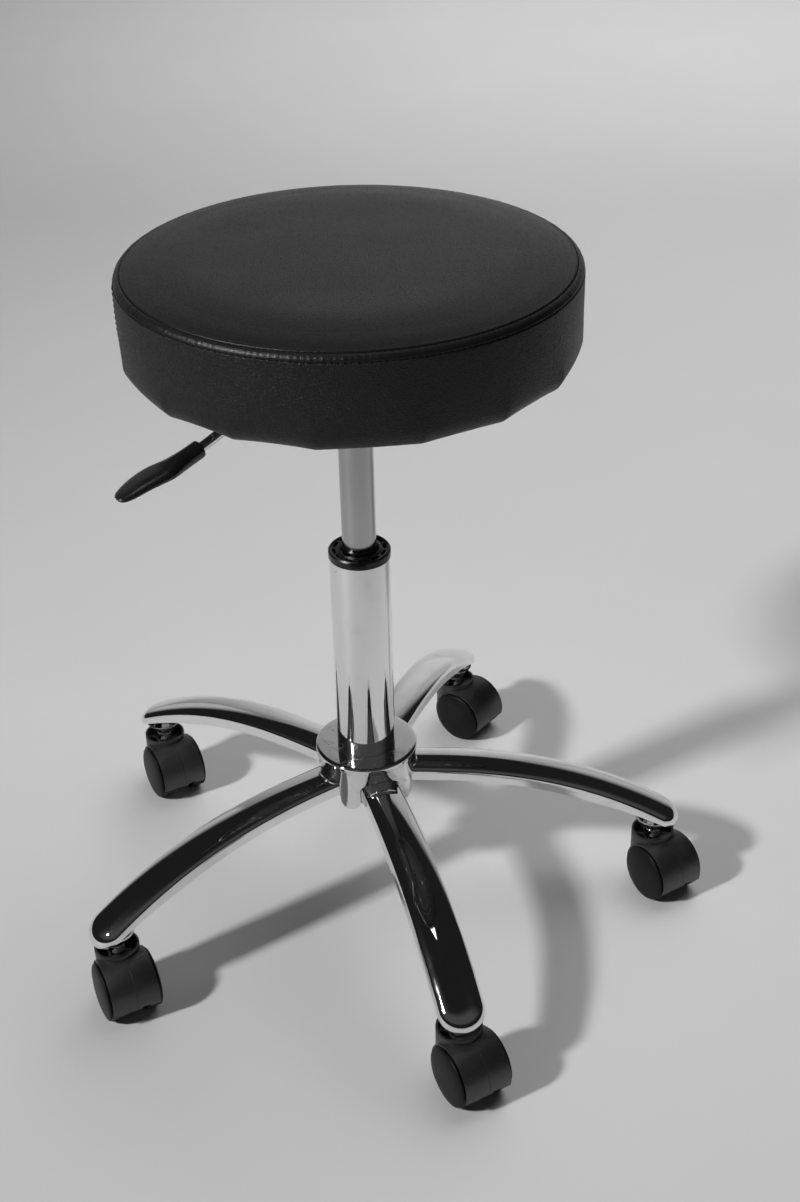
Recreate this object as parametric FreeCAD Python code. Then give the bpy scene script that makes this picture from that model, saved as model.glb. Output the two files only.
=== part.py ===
import FreeCAD, Part
import math
import os

# Adjustable swivel stool: round upholstered seat on a gas lift column, five-arm
# pressed steel base and twin-wheel casters.
#
# Frame: millimetres, +Z up, origin on the floor under the column axis.
# Arm 1 points along +X and the other arms follow every 72 degrees.

os.makedirs("parts", exist_ok=True)
V = FreeCAD.Vector
UP = V(0, 0, 1)
CENTRE = V(0, 0, 0)

# ---------------------------------------------------------------- driving sizes
ARM_COUNT = 5
ARM_STEP = 360.0 / ARM_COUNT

# seat
SEAT_R = 174.5
SEAT_TOP = 600.0
SEAT_UNDER = 517.8
SEAT_FLAT_R = 112.0
SEAT_BOTTOM_ROUND = 17.0
SEAM_Z = 589.3
SEAM_SETBACK = 1.0
LOWER_ROW_Z = 586.3
UPPER_ROW_Z = 592.2
UPPER_ROW_SETBACK = 5.2
COVER_T = 1.2
BOARD_R = 152.0
BOARD_T = 12.0
CLOTH_T = 0.5
CLOTH_R = 119.0

# seat mechanism
LEVER_AZIMUTH = 223.3
PLATE_HALF = 80.0
PLATE_T = 3.0
SCREW_OFFSET = 62.0
CHANNEL_HALF = 20.5
CHANNEL_WALL = 2.5
CHANNEL_FLOOR = 489.0
CHANNEL_BACK = -36.0
CHANNEL_FRONT = 62.0
CONE_SLEEVE_R = 19.0

# release lever
LEVER_Z = 503.0
LEVER_ROD_R = 3.9
LEVER_PIVOT = 28.0
LEVER_INNER_END = -4.5
LEVER_BEND_AT = 103.6
LEVER_DROP = 17.5
LEVER_BEND_R = 30.0
LEVER_ROD_END = 166.0
GRIP_START = 147.0
GRIP_R = 7.65
GRIP_END = 219.5
GRIP_TILT = 15.0

# gas lift
CYL_R = 14.0
CYL_BORE = 12.5
CYL_BOTTOM = 283.0
CYL_TOP = 495.0
CYL_CONE_START = 465.0
CYL_CONE_TOP_R = 13.0
PISTON_Z = 312.0
PISTON_LENGTH = 12.0
ROD_R = 5.0
ROD_JOURNAL_R = 4.0
PIN_R = 3.0
RUN = 0.05

# column
TUBE_R = 25.0
TUBE_WALL = 1.6
TUBE_BOTTOM = 106.0
TUBE_TOP = 343.0
TUBE_PLATE_T = 2.5
CAP_TOP = 347.5
CAP_LIP_Z = 340.4
CAP_R = 25.6
BUSH_BOTTOM = 252.0
BALL_R = 2.0
BALL_RING_R = 9.0
BALL_COUNT = 12

# base
HUB_TOP = 154.0
HUB_RIM_R = 44.15
HUB_SKIRT_R = 43.0
HUB_SHEET = 2.2
TAB_WIDTH = 19.0
TAB_BOTTOM = 110.0
SKIRT_BOTTOM = 129.0
SOCKET_R = 30.5
ARM_ROOT = 44.0
ARM_TIP = 280.0
ARM_CROWN_Z = 138.5
ARM_FALL = 65.5
ARM_FALL_POWER = 2.4
ARM_ROOT_HALF = 17.0
ARM_TIP_HALF = 19.0
ARM_DEPTH = 15.5
ARM_TIP_DEPTH = 10.5
ARM_TAPER_FROM = 205.0
ARM_CROWN = 2.2
ARM_SHOULDER = 6.0
ARM_SHEET = 2.0
ARM_NOSE = 14.0

# casters
CASTER_REACH = 254.0
CASTER_AXLE_AZIMUTHS = (32.5, 52.2, 29.7, 27.2, 31.1)
CASTER_OFFSET = 17.9
WHEEL_R = 25.0
WHEEL_INNER = 8.3
WHEEL_RIM = 21.8
WHEEL_DOME = 25.3
WHEEL_GROOVE = 1.0
HOOD_R = 26.8
HOOD_HALF = 20.3
HOOD_GAP = 0.5
HOOD_BOTTOM = 17.6
HOOD_WEB_HALF = 8.0
CUP_R = 18.7
CUP_WALL = 1.8
CUP_TOP = 54.5
CUP_FLOOR = 44.0
STEM_R = 5.5
STEM_BOTTOM = 28.0
STEM_TOP = 78.0
AXLE_R = 3.0
BOSS_TOP_R = 16.4
BOSS_TOP = 70.0
BOSS_BOTTOM_R = 8.0
BOSS_BOTTOM = 57.5
RIB_TOP = 49.6


# ---------------------------------------------------------------- small helpers
def save(name, shape):
    shape.exportStep(os.path.join("parts", name + ".step"))


def ring(outer, inner, low, high):
    """A round washer or tube about Z."""
    body = Part.makeCylinder(outer, high - low, V(0, 0, low), UP)
    if inner > 0:
        body = body.cut(Part.makeCylinder(inner, high - low, V(0, 0, low), UP))
    return body


def turned(edges_or_points):
    """Revolve a closed outline of (radius, height) points about Z."""
    points = [V(r, 0, z) for r, z in edges_or_points]
    outline = Part.makePolygon(points + [points[0]])
    return Part.Face(outline).revolve(CENTRE, UP, 360)


def line(a, b):
    return Part.LineSegment(a, b).toShape()


def arc(a, middle, b):
    return Part.Arc(a, middle, b).toShape()


def around_z(shape, degrees):
    copy = shape.copy()
    copy.rotate(CENTRE, UP, degrees)
    return copy


def cut_by(shape, tools):
    for tool in tools:
        shape = shape.cut(tool)
    return shape


def fused(shapes):
    body = shapes[0]
    for other in shapes[1:]:
        body = body.fuse(other)
    return body.removeSplitter()


# ---------------------------------------------------------------- base arms
def arm_crown(reach):
    """Height of the arm's centre line on top, level at the hub and steeper outwards."""
    share = max(0.0, (reach - ARM_ROOT) / (ARM_TIP - ARM_ROOT))
    return ARM_CROWN_Z - ARM_FALL * share ** ARM_FALL_POWER


def arm_slope(reach):
    step = 0.5
    return math.atan2(arm_crown(reach + step) - arm_crown(reach - step), 2 * step)


def arm_depth(reach):
    """Height of the arm's section, thinner towards the tip."""
    share = (reach - ARM_TAPER_FROM) / (ARM_TIP - ARM_TAPER_FROM)
    return ARM_DEPTH - (ARM_DEPTH - ARM_TIP_DEPTH) * min(1.0, max(0.0, share))


def arm_section(reach, inset):
    """Inverted U outline square to the arm; inset shrinks it to the sheet's inside."""
    share = max(0.0, (reach - ARM_ROOT) / (ARM_TIP - ARM_ROOT))
    half = ARM_ROOT_HALF + (ARM_TIP_HALF - ARM_ROOT_HALF) * share - inset
    slope = arm_slope(reach)
    top = V(reach, 0, arm_crown(reach))
    normal = V(-math.sin(slope), 0, math.cos(slope))
    depth = arm_depth(reach) + (4.0 if inset else 0.0)
    shoulder = ARM_SHOULDER - inset

    def at(side, down):
        return top + V(0, side, 0) - normal * (down + (0 if down == depth else inset))

    flat = half - shoulder
    drop = ARM_CROWN + shoulder
    round_side = half - shoulder * 0.24
    round_drop = ARM_CROWN + shoulder * 0.34
    return Part.Wire([
        line(at(-half, depth), at(half, depth)),
        line(at(half, depth), at(half, drop)),
        arc(at(half, drop), at(round_side, round_drop), at(flat, ARM_CROWN)),
        arc(at(flat, ARM_CROWN), at(0, 0), at(-flat, ARM_CROWN)),
        arc(at(-flat, ARM_CROWN), at(-round_side, round_drop), at(-half, drop)),
        line(at(-half, drop), at(-half, depth)),
    ])


def arm_blank(inset):
    """Loft of the arm's sections, trimmed to a round nose square to the arm's end."""
    stations = [22, 60, 100, 140, 175, 205, 235, 262, 296]
    loft = Part.makeLoft([arm_section(s, inset) for s in stations], True, False)
    slope = arm_slope(ARM_TIP)
    tangent = V(math.cos(slope), 0, math.sin(slope))
    normal = V(-math.sin(slope), 0, math.cos(slope))
    reach = 150.0
    tip = V(ARM_TIP, 0, arm_crown(ARM_TIP)) - normal * reach
    side = ARM_TIP_HALF - inset

    def at(back, across):
        return tip - tangent * back + V(0, across, 0)

    plan = Part.Wire([
        line(at(320, -40), at(ARM_NOSE, -40)),
        line(at(ARM_NOSE, -40), at(ARM_NOSE, -side)),
        arc(at(ARM_NOSE, -side), at(inset, 0), at(ARM_NOSE, side)),
        line(at(ARM_NOSE, side), at(ARM_NOSE, 40)),
        line(at(ARM_NOSE, 40), at(320, 40)),
        line(at(320, 40), at(320, -40)),
    ])
    return loft.common(Part.Face(plan).extrude(normal * (2 * reach)))


def make_arm(outer):
    inner = arm_blank(ARM_SHEET)
    root = ring(SOCKET_R, 0, 60, 200)
    return outer.cut(inner).cut(root)


# ---------------------------------------------------------------- hub
def tab_mask():
    """One rounded tab between two arms, as a radial prism at azimuth 36 degrees."""
    half = TAB_WIDTH / 2
    mid = TAB_BOTTOM + half
    near = HUB_SKIRT_R - 6
    outline = Part.Wire([
        line(V(near, -half, SKIRT_BOTTOM + 1), V(near, -half, mid)),
        arc(V(near, -half, mid), V(near, 0, TAB_BOTTOM), V(near, half, mid)),
        line(V(near, half, mid), V(near, half, SKIRT_BOTTOM + 1)),
        line(V(near, half, SKIRT_BOTTOM + 1), V(near, -half, SKIRT_BOTTOM + 1)),
    ])
    return around_z(Part.Face(outline).extrude(V(12, 0, 0)), ARM_STEP / 2)


def make_hub(arm_blanks):
    rim_low = HUB_TOP - 6.0
    inside = HUB_SKIRT_R - HUB_SHEET
    bore = TUBE_R + 0.02

    def p(r, z):
        return V(r, 0, z)

    outline = Part.Wire([
        line(p(bore, HUB_TOP), p(HUB_RIM_R - 3.6, HUB_TOP)),
        arc(p(HUB_RIM_R - 3.6, HUB_TOP), p(HUB_RIM_R - 1.0, HUB_TOP - 1.1), p(HUB_RIM_R, HUB_TOP - 3.6)),
        arc(p(HUB_RIM_R, HUB_TOP - 3.6), p(HUB_RIM_R - 0.4, rim_low + 0.5), p(HUB_SKIRT_R, rim_low)),
        line(p(HUB_SKIRT_R, rim_low), p(HUB_SKIRT_R, TAB_BOTTOM)),
        line(p(HUB_SKIRT_R, TAB_BOTTOM), p(inside, TAB_BOTTOM)),
        line(p(inside, TAB_BOTTOM), p(inside, HUB_TOP - HUB_SHEET - 1)),
        line(p(inside, HUB_TOP - HUB_SHEET - 1), p(bore, HUB_TOP - HUB_SHEET - 1)),
        line(p(bore, HUB_TOP - HUB_SHEET - 1), p(bore, HUB_TOP)),
    ])
    cup = Part.Face(outline).revolve(CENTRE, UP, 360)
    upper = cup.common(ring(60, 0, SKIRT_BOTTOM, 200))
    mask = tab_mask()
    tabs = [cup.common(around_z(mask, ARM_STEP * k)) for k in range(ARM_COUNT)]
    return cut_by(fused([upper] + tabs), arm_blanks)


def make_hub_socket():
    return ring(SOCKET_R, TUBE_R + 0.02, TUBE_BOTTOM + 2, HUB_TOP - HUB_SHEET - 1)


# ---------------------------------------------------------------- stem sockets on the arms
def make_stem_socket():
    """Pressed cone under the arm's end with the caster's stem tube through it."""
    cone = turned([
        (STEM_R + RUN, BOSS_BOTTOM), (BOSS_BOTTOM_R - 1.0, BOSS_BOTTOM), (BOSS_BOTTOM_R, BOSS_BOTTOM + 1.0),
        (BOSS_TOP_R, BOSS_TOP), (BOSS_TOP_R - 2.0, BOSS_TOP), (BOSS_BOTTOM_R - 0.5, BOSS_BOTTOM + 4.0),
        (BOSS_BOTTOM_R - 1.2, BOSS_TOP + 9), (STEM_R + RUN, BOSS_TOP + 9),
    ])
    cone.translate(V(CASTER_REACH, 0, 0))
    return cone


# ---------------------------------------------------------------- column
def make_column_tube():
    bore = TUBE_R - TUBE_WALL
    plate = TUBE_BOTTOM + TUBE_PLATE_T
    hole = ROD_JOURNAL_R + RUN
    return turned([
        (hole, TUBE_BOTTOM), (TUBE_R - 1, TUBE_BOTTOM), (TUBE_R, TUBE_BOTTOM + 1), (TUBE_R, TUBE_TOP),
        (bore, TUBE_TOP), (bore, plate), (hole, plate),
    ])


def make_tube_cap():
    """Plastic end cap with a ring of curved slots and a well round the cylinder."""
    bore = CYL_R + 1.2
    body = turned([
        (bore, TUBE_TOP), (TUBE_R + 0.02, TUBE_TOP), (TUBE_R + 0.02, CAP_LIP_Z), (CAP_R - 0.2, CAP_LIP_Z),
        (CAP_R, CAP_LIP_Z + 0.4), (CAP_R, CAP_TOP - 1.2), (CAP_R - 1.0, CAP_TOP), (23.4, CAP_TOP),
        (23.0, CAP_TOP - 0.8), (18.4, CAP_TOP - 0.8), (18.0, CAP_TOP), (16.4, CAP_TOP), (bore, CAP_TOP - 1.4),
    ])
    slot_count = 12
    gap_degrees = 7.0
    slot = Part.Face(Part.Wire([
        line(V(19.4, 0, CAP_TOP), V(22.2, 0, CAP_TOP)),
        line(V(22.2, 0, CAP_TOP), V(22.2, 0, TUBE_TOP + 1.2)),
        line(V(22.2, 0, TUBE_TOP + 1.2), V(19.4, 0, TUBE_TOP + 1.2)),
        line(V(19.4, 0, TUBE_TOP + 1.2), V(19.4, 0, CAP_TOP)),
    ])).revolve(CENTRE, UP, 360.0 / slot_count - gap_degrees)
    return cut_by(body, [around_z(slot, k * 360.0 / slot_count) for k in range(slot_count)])


def make_guide_bush():
    wall = TUBE_R - TUBE_WALL - 0.02
    flange_in = CYL_R + RUN
    return turned([
        (flange_in, BUSH_BOTTOM + 2), (flange_in + 2, BUSH_BOTTOM), (wall, BUSH_BOTTOM),
        (wall, BUSH_BOTTOM + 8), (wall - 3, BUSH_BOTTOM + 11), (wall - 3, TUBE_TOP - 14),
        (wall, TUBE_TOP - 11), (wall, TUBE_TOP - 0.1),
        (flange_in + 0.8, TUBE_TOP - 0.1), (flange_in, TUBE_TOP - 1.2),
    ])


def make_bearing():
    """Lower race, ball ring and upper race that the piston rod turns on."""
    floor = TUBE_BOTTOM + TUBE_PLATE_T
    race_t = 2.0
    lower = ring(BALL_RING_R + 3.2, ROD_JOURNAL_R + 1.5, floor, floor + race_t)
    ball_z = floor + race_t + BALL_R
    balls = [
        around_z(Part.makeSphere(BALL_R, V(BALL_RING_R, 0, ball_z)), k * 360.0 / BALL_COUNT)
        for k in range(BALL_COUNT)
    ]
    upper_low = ball_z + BALL_R + RUN
    upper = ring(BALL_RING_R + 3.2, ROD_JOURNAL_R, upper_low, upper_low + race_t)
    return lower, Part.makeCompound(balls), upper, upper_low + race_t


# ---------------------------------------------------------------- gas lift
def make_piston_rod(shoulder):
    end = TUBE_BOTTOM - 5
    groove = TUBE_BOTTOM - 3.2
    groove_r = ROD_JOURNAL_R - 0.8
    return turned([
        (0, end), (ROD_JOURNAL_R - 0.5, end), (ROD_JOURNAL_R, end + 0.5), (ROD_JOURNAL_R, groove),
        (groove_r, groove), (groove_r, groove + 1.6), (ROD_JOURNAL_R, groove + 1.6),
        (ROD_JOURNAL_R, shoulder), (ROD_R, shoulder),
        (ROD_R, PISTON_Z + PISTON_LENGTH), (0, PISTON_Z + PISTON_LENGTH),
    ])


def make_rod_clip():
    groove = TUBE_BOTTOM - 3.2
    body = ring(ROD_JOURNAL_R + 4, ROD_JOURNAL_R - 0.8, groove, groove + 1.6)
    return body.cut(Part.makeBox(12, 5, 4, V(0, -2.5, groove - 1)))


def make_piston():
    z0 = PISTON_Z
    z1 = PISTON_Z + PISTON_LENGTH
    wall = CYL_BORE - 0.08
    return turned([
        (ROD_R, z0), (wall - 0.8, z0), (wall, z0 + 0.8), (wall, z0 + 4), (wall - 1.5, z0 + 4),
        (wall - 1.5, z0 + 8), (wall, z0 + 8), (wall, z1 - 0.8), (wall - 0.8, z1), (ROD_R, z1),
    ])


def make_gas_cylinder():
    crown = CYL_TOP - 8
    guide_top = CYL_BOTTOM + 8
    return turned([
        (ROD_R + RUN, CYL_BOTTOM), (CYL_R - 1.5, CYL_BOTTOM), (CYL_R, CYL_BOTTOM + 1.5),
        (CYL_R, CYL_CONE_START), (CYL_CONE_TOP_R, CYL_TOP - 0.5), (CYL_CONE_TOP_R - 0.5, CYL_TOP),
        (PIN_R + RUN, CYL_TOP), (PIN_R + RUN, crown), (CYL_BORE - 2, crown), (CYL_BORE, crown - 2),
        (CYL_BORE, guide_top), (ROD_R + RUN, guide_top),
    ])


def make_valve_pin():
    top = LEVER_Z - LEVER_ROD_R - 0.4
    low = CYL_TOP - 6
    return turned([
        (0, low), (PIN_R, low), (PIN_R, top - 0.6), (PIN_R - 0.6, top), (0, top),
    ])


# ---------------------------------------------------------------- seat mechanism
# Modelled with the lever along +X, then turned to the lever's azimuth.
def to_lever(shape):
    return around_z(shape, LEVER_AZIMUTH)


def make_cone_socket():
    low = CYL_CONE_START + 5
    high = CHANNEL_FLOOR + 4
    fall = (CYL_R - CYL_CONE_TOP_R) / (CYL_TOP - 0.5 - CYL_CONE_START)
    low_r = CYL_R - fall * (low - CYL_CONE_START)
    high_r = CYL_R - fall * (high - CYL_CONE_START)
    return turned([
        (low_r, low), (CONE_SLEEVE_R - 1, low), (CONE_SLEEVE_R, low + 1),
        (CONE_SLEEVE_R, high), (high_r, high),
    ])


def make_channel():
    """Pressed U channel under the seat plate that carries the cone socket and the lever."""
    length = CHANNEL_FRONT - CHANNEL_BACK
    half = CHANNEL_HALF + CHANNEL_WALL
    plate_under = SEAT_UNDER + 0.7 - PLATE_T
    outer = Part.makeBox(length, 2 * half, plate_under - CHANNEL_FLOOR, V(CHANNEL_BACK, -half, CHANNEL_FLOOR))
    lower_edges = [
        e for e in outer.Edges
        if abs(e.BoundBox.ZMax - CHANNEL_FLOOR) < 0.01 and e.BoundBox.XLength > 1
    ]
    outer = outer.makeFillet(4.0, lower_edges)
    inner = Part.makeBox(
        length, 2 * CHANNEL_HALF, plate_under - CHANNEL_FLOOR,
        V(CHANNEL_BACK, -CHANNEL_HALF, CHANNEL_FLOOR + CHANNEL_WALL))
    seat_hole = ring(CONE_SLEEVE_R, 0, CHANNEL_FLOOR - 1, CHANNEL_FLOOR + 5)
    pin_hole = Part.makeCylinder(2.5, 2 * half, V(LEVER_PIVOT, -half, LEVER_Z), V(0, 1, 0))
    return to_lever(cut_by(outer, [inner, seat_hole, pin_hole]))


def rounded_plate(half, corner, low, high):
    body = Part.makeBox(2 * half, 2 * half, high - low, V(-half, -half, low))
    uprights = [e for e in body.Edges if e.BoundBox.ZLength > (high - low) * 0.9]
    return body.makeFillet(corner, uprights)


def screw_places():
    return [(x, y) for x in (-SCREW_OFFSET, SCREW_OFFSET) for y in (-SCREW_OFFSET, SCREW_OFFSET)]


def make_seat_plate():
    top = SEAT_UNDER + 0.7
    plate = rounded_plate(PLATE_HALF, 16.0, top - PLATE_T, top)
    holes = [Part.makeCylinder(3.0, 20, V(x, y, top - 10), UP) for x, y in screw_places()]
    return to_lever(cut_by(plate, holes))


def make_screw(x, y):
    """Button head screw with a hexagon socket, head below the plate."""
    seat = SEAT_UNDER + 0.7 - PLATE_T
    head = turned([
        (0, seat - 3.3), (3.6, seat - 3.3), (5.4, seat - 1.6), (5.6, seat), (0, seat),
    ])
    shank = Part.makeCylinder(3.0, 15.0, V(0, 0, seat), UP)
    hexagon = Part.makePolygon([
        V(2.3 * math.cos(math.radians(60 * k)), 2.3 * math.sin(math.radians(60 * k)), seat - 3.3)
        for k in range(7)
    ])
    recess = Part.Face(hexagon).extrude(V(0, 0, 1.8))
    screw = head.fuse(shank).cut(recess)
    screw.translate(V(x, y, 0))
    return to_lever(screw)


def make_tee_nut(x, y):
    top = SEAT_UNDER + 1.2 + BOARD_T
    barrel = ring(4.2, 3.0, top - 9, top)
    flange = ring(9.0, 3.0, top, top + 1.2)
    nut = barrel.fuse(flange)
    nut.translate(V(x, y, 0))
    return to_lever(nut)


def make_pivot_pin():
    half = CHANNEL_HALF + CHANNEL_WALL
    pin = Part.makeCylinder(2.5, 2 * half, V(LEVER_PIVOT, -half, LEVER_Z), V(0, 1, 0))
    head = Part.makeCylinder(4.2, 1.8, V(LEVER_PIVOT, half, LEVER_Z), V(0, 1, 0))
    tail = Part.makeCylinder(3.6, 1.4, V(LEVER_PIVOT, -half - 1.4, LEVER_Z), V(0, 1, 0))
    return to_lever(fused([pin, head, tail]))


def make_lever_rod():
    """Round bar, level inside the mechanism and bent down towards the grip."""
    drop = math.radians(LEVER_DROP)
    run = LEVER_BEND_R * math.tan(drop / 2)
    bend = V(LEVER_BEND_AT, 0, LEVER_Z)
    down = V(math.cos(drop), 0, -math.sin(drop))
    start = V(LEVER_INNER_END, 0, LEVER_Z)
    before = bend - V(run, 0, 0)
    after = bend + down * run
    centre = before - V(0, 0, LEVER_BEND_R)
    middle = centre + V(math.sin(drop / 2), 0, math.cos(drop / 2)) * LEVER_BEND_R
    end = bend + down * ((LEVER_ROD_END - LEVER_BEND_AT) / math.cos(drop))
    path = Part.Wire([line(start, before), arc(before, middle, after), line(after, end)])
    circle = Part.Wire(Part.Circle(start, V(1, 0, 0), LEVER_ROD_R).toShape())
    bar = path.makePipeShell([circle], True, True)
    eye = Part.makeCylinder(6.0, 16, V(LEVER_PIVOT, -8, LEVER_Z), V(0, 1, 0))
    bore = Part.makeCylinder(2.5 + RUN, 16, V(LEVER_PIVOT, -8, LEVER_Z), V(0, 1, 0))
    return to_lever(bar.fuse(eye).cut(bore))


def make_lever_grip(rod):
    """Moulded grip: a round sleeve on the rod that flattens into a spoon-shaped paddle."""
    drop = math.radians(LEVER_DROP)
    sleeve_z = LEVER_Z - (GRIP_START - LEVER_BEND_AT) * math.tan(drop)
    stations = [
        # along the lever, height above the sleeve's mouth, half width, half thickness, tilt
        (0.0, 0.0, GRIP_R - 0.5, GRIP_R - 0.5, GRIP_TILT),
        (1.5, -0.4, GRIP_R, GRIP_R, GRIP_TILT),
        (14.0, -3.8, GRIP_R, GRIP_R, GRIP_TILT),
        (23.0, -6.3, 8.3, 7.4, 14.0),
        (33.0, -7.9, 9.2, 6.4, 12.0),
        (44.0, -9.5, 9.2, 5.6, 10.0),
        (56.0, -11.8, 8.8, 5.2, 8.0),
        (65.0, -13.4, 7.4, 4.6, 6.0),
        (GRIP_END - GRIP_START, -14.2, 3.8, 2.6, 6.0),
    ]
    wires = []
    for along, down, half_w, half_t, tilt in stations:
        centre = V(GRIP_START + along, 0, sleeve_z + down)
        lean = math.radians(tilt)
        across = V(0, 1, 0)
        thick = V(math.sin(lean), 0, math.cos(lean))
        points = [
            centre + across * (half_w * math.cos(a)) + thick * (half_t * math.sin(a))
            for a in [math.pi / 4 * k for k in range(8)]
        ]
        curve = Part.BSplineCurve()
        curve.interpolate(points, PeriodicFlag=True)
        wires.append(Part.Wire(curve.toShape()))
    grip = Part.makeLoft(wires, True, False)
    return to_lever(grip).cut(rod)


# ---------------------------------------------------------------- seat
def seat_outline(inset):
    """Outer profile of the seat as edges from the underside centre to the top centre."""
    r = SEAT_R - inset
    low = SEAT_UNDER + inset
    top = SEAT_TOP - inset
    bend = SEAT_BOTTOM_ROUND - inset
    s = bend * (1 - math.sqrt(0.5))
    upper_r = r - UPPER_ROW_SETBACK
    # the crown is level where it meets the flat middle
    crown_reach = upper_r - SEAT_FLAT_R
    crown_fall = top - UPPER_ROW_Z
    crown_r = (crown_reach ** 2 + crown_fall ** 2) / (2 * crown_fall)
    half_turn = math.asin(crown_reach / crown_r) / 2

    def p(a, z):
        return V(a, 0, z)

    crown_middle = p(SEAT_FLAT_R + crown_r * math.sin(half_turn), top - crown_r * (1 - math.cos(half_turn)))

    return [
        line(p(0, low), p(r - bend, low)),
        arc(p(r - bend, low), p(r - s, low + s), p(r, low + bend)),
        line(p(r, low + bend), p(r, LOWER_ROW_Z)),
        arc(p(r, LOWER_ROW_Z), p(r - SEAM_SETBACK, SEAM_Z), p(upper_r, UPPER_ROW_Z)),
        arc(p(upper_r, UPPER_ROW_Z), crown_middle, p(SEAT_FLAT_R, top)),
        line(p(SEAT_FLAT_R, top), p(0, top)),
    ]


def seat_solid(inset):
    edges = seat_outline(inset)
    edges.append(line(V(0, 0, SEAT_TOP - inset), V(0, 0, SEAT_UNDER + inset)))
    return Part.Face(Part.Wire(edges)).revolve(CENTRE, UP, 360)


def make_board_blank():
    """Plywood disc before drilling, its upper edge rounded over."""
    low = SEAT_UNDER + COVER_T
    disc = ring(BOARD_R, 0, low, low + BOARD_T)
    rim = [e for e in disc.Edges if e.BoundBox.ZMin > low + BOARD_T - 0.1]
    return disc.makeFillet(2.0, rim)


def make_board(board_blank):
    top = SEAT_UNDER + COVER_T + BOARD_T
    drilled = board_blank
    for x, y in screw_places():
        through = Part.makeCylinder(3.0, 40, V(x, y, top - 30), UP)
        counterbore = Part.makeCylinder(4.2, 9, V(x, y, top - 9), UP)
        drilled = cut_by(drilled, [to_lever(through), to_lever(counterbore)])
    return drilled


def make_foam(board_blank, nuts):
    foam = seat_solid(COVER_T)
    return cut_by(foam, [board_blank] + nuts)


def make_covers():
    """Vinyl skin in two sewn panels: the top disc and the side strip with its turned-under hem."""
    skin = seat_solid(0).cut(seat_solid(COVER_T))
    top_panel = skin.common(ring(200, 0, SEAM_Z, SEAT_TOP + 1))
    strip = skin.common(ring(200, CLOTH_R, SEAT_UNDER - 1, SEAM_Z))
    return top_panel, strip


def make_dust_cloth(screws):
    top = SEAT_UNDER + COVER_T
    return cut_by(ring(CLOTH_R, 0, top - CLOTH_T, top), screws)


def make_staples():
    """Wire staples that hold the hem to the board."""
    count = 36
    wire = 1.2
    crown = 10.0
    leg = 6.0
    radius = 134.0
    low = SEAT_UNDER - wire
    bar = Part.makeBox(wire, crown, wire, V(radius, -crown / 2, low))
    legs = [
        Part.makeBox(wire, wire, leg, V(radius, side, low))
        for side in (-crown / 2, crown / 2 - wire)
    ]
    staple = fused([bar] + legs)
    return Part.makeCompound([around_z(staple, k * 360.0 / count) for k in range(count)])


# ---------------------------------------------------------------- casters
# Modelled with the stem on Z and the axle along X, the wheels trailing towards -Y.
def axle_drum(radius, low, high):
    return Part.makeCylinder(radius, high - low, V(low, -CASTER_OFFSET, WHEEL_R), V(1, 0, 0))


def make_wheel(side):
    """Hollow-backed wheel with a plain tread, a groove and a domed outer face."""
    bore = AXLE_R + RUN
    centre = V(0, -CASTER_OFFSET, WHEEL_R)

    def p(w, r):
        return centre + V(side * w, 0, r)

    rim = WHEEL_RIM
    groove = rim - 2.2
    corner = 3.0
    face_r = WHEEL_R - corner
    rise = WHEEL_DOME - rim - 2.2
    dome_r = (face_r ** 2 + rise ** 2) / (2 * rise)

    def dome_at(r):
        """Place along the axle of the domed face, a ball surface centred on the axle."""
        return WHEEL_DOME - dome_r + math.sqrt(dome_r ** 2 - r ** 2)

    outline = Part.Wire([
        line(p(WHEEL_INNER, bore), p(WHEEL_INNER, 7)),
        line(p(WHEEL_INNER, 7), p(15, 8)),
        line(p(15, 8), p(15, 20.5)),
        line(p(15, 20.5), p(WHEEL_INNER + 1, 21.5)),
        line(p(WHEEL_INNER + 1, 21.5), p(WHEEL_INNER + 1, WHEEL_R - 0.6)),
        line(p(WHEEL_INNER + 1, WHEEL_R - 0.6), p(WHEEL_INNER + 1.6, WHEEL_R)),
        line(p(WHEEL_INNER + 1.6, WHEEL_R), p(groove - 0.6, WHEEL_R)),
        line(p(groove - 0.6, WHEEL_R), p(groove, WHEEL_R - WHEEL_GROOVE)),
        line(p(groove, WHEEL_R - WHEEL_GROOVE), p(rim - 1.0, WHEEL_R - WHEEL_GROOVE)),
        line(p(rim - 1.0, WHEEL_R - WHEEL_GROOVE), p(rim - 0.6, WHEEL_R - 0.2)),
        arc(p(rim - 0.6, WHEEL_R - 0.2), p(rim + 1.0, WHEEL_R - 0.9), p(rim + 2.2, WHEEL_R - corner)),
        arc(p(rim + 2.2, WHEEL_R - corner), p(dome_at(11), 11), p(WHEEL_DOME, 0)),
        line(p(WHEEL_DOME, 0), p(18, 0)),
        line(p(18, 0), p(18, bore)),
        line(p(18, bore), p(WHEEL_INNER, bore)),
    ])
    return Part.Face(outline).revolve(centre, V(1, 0, 0), 360)


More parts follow.
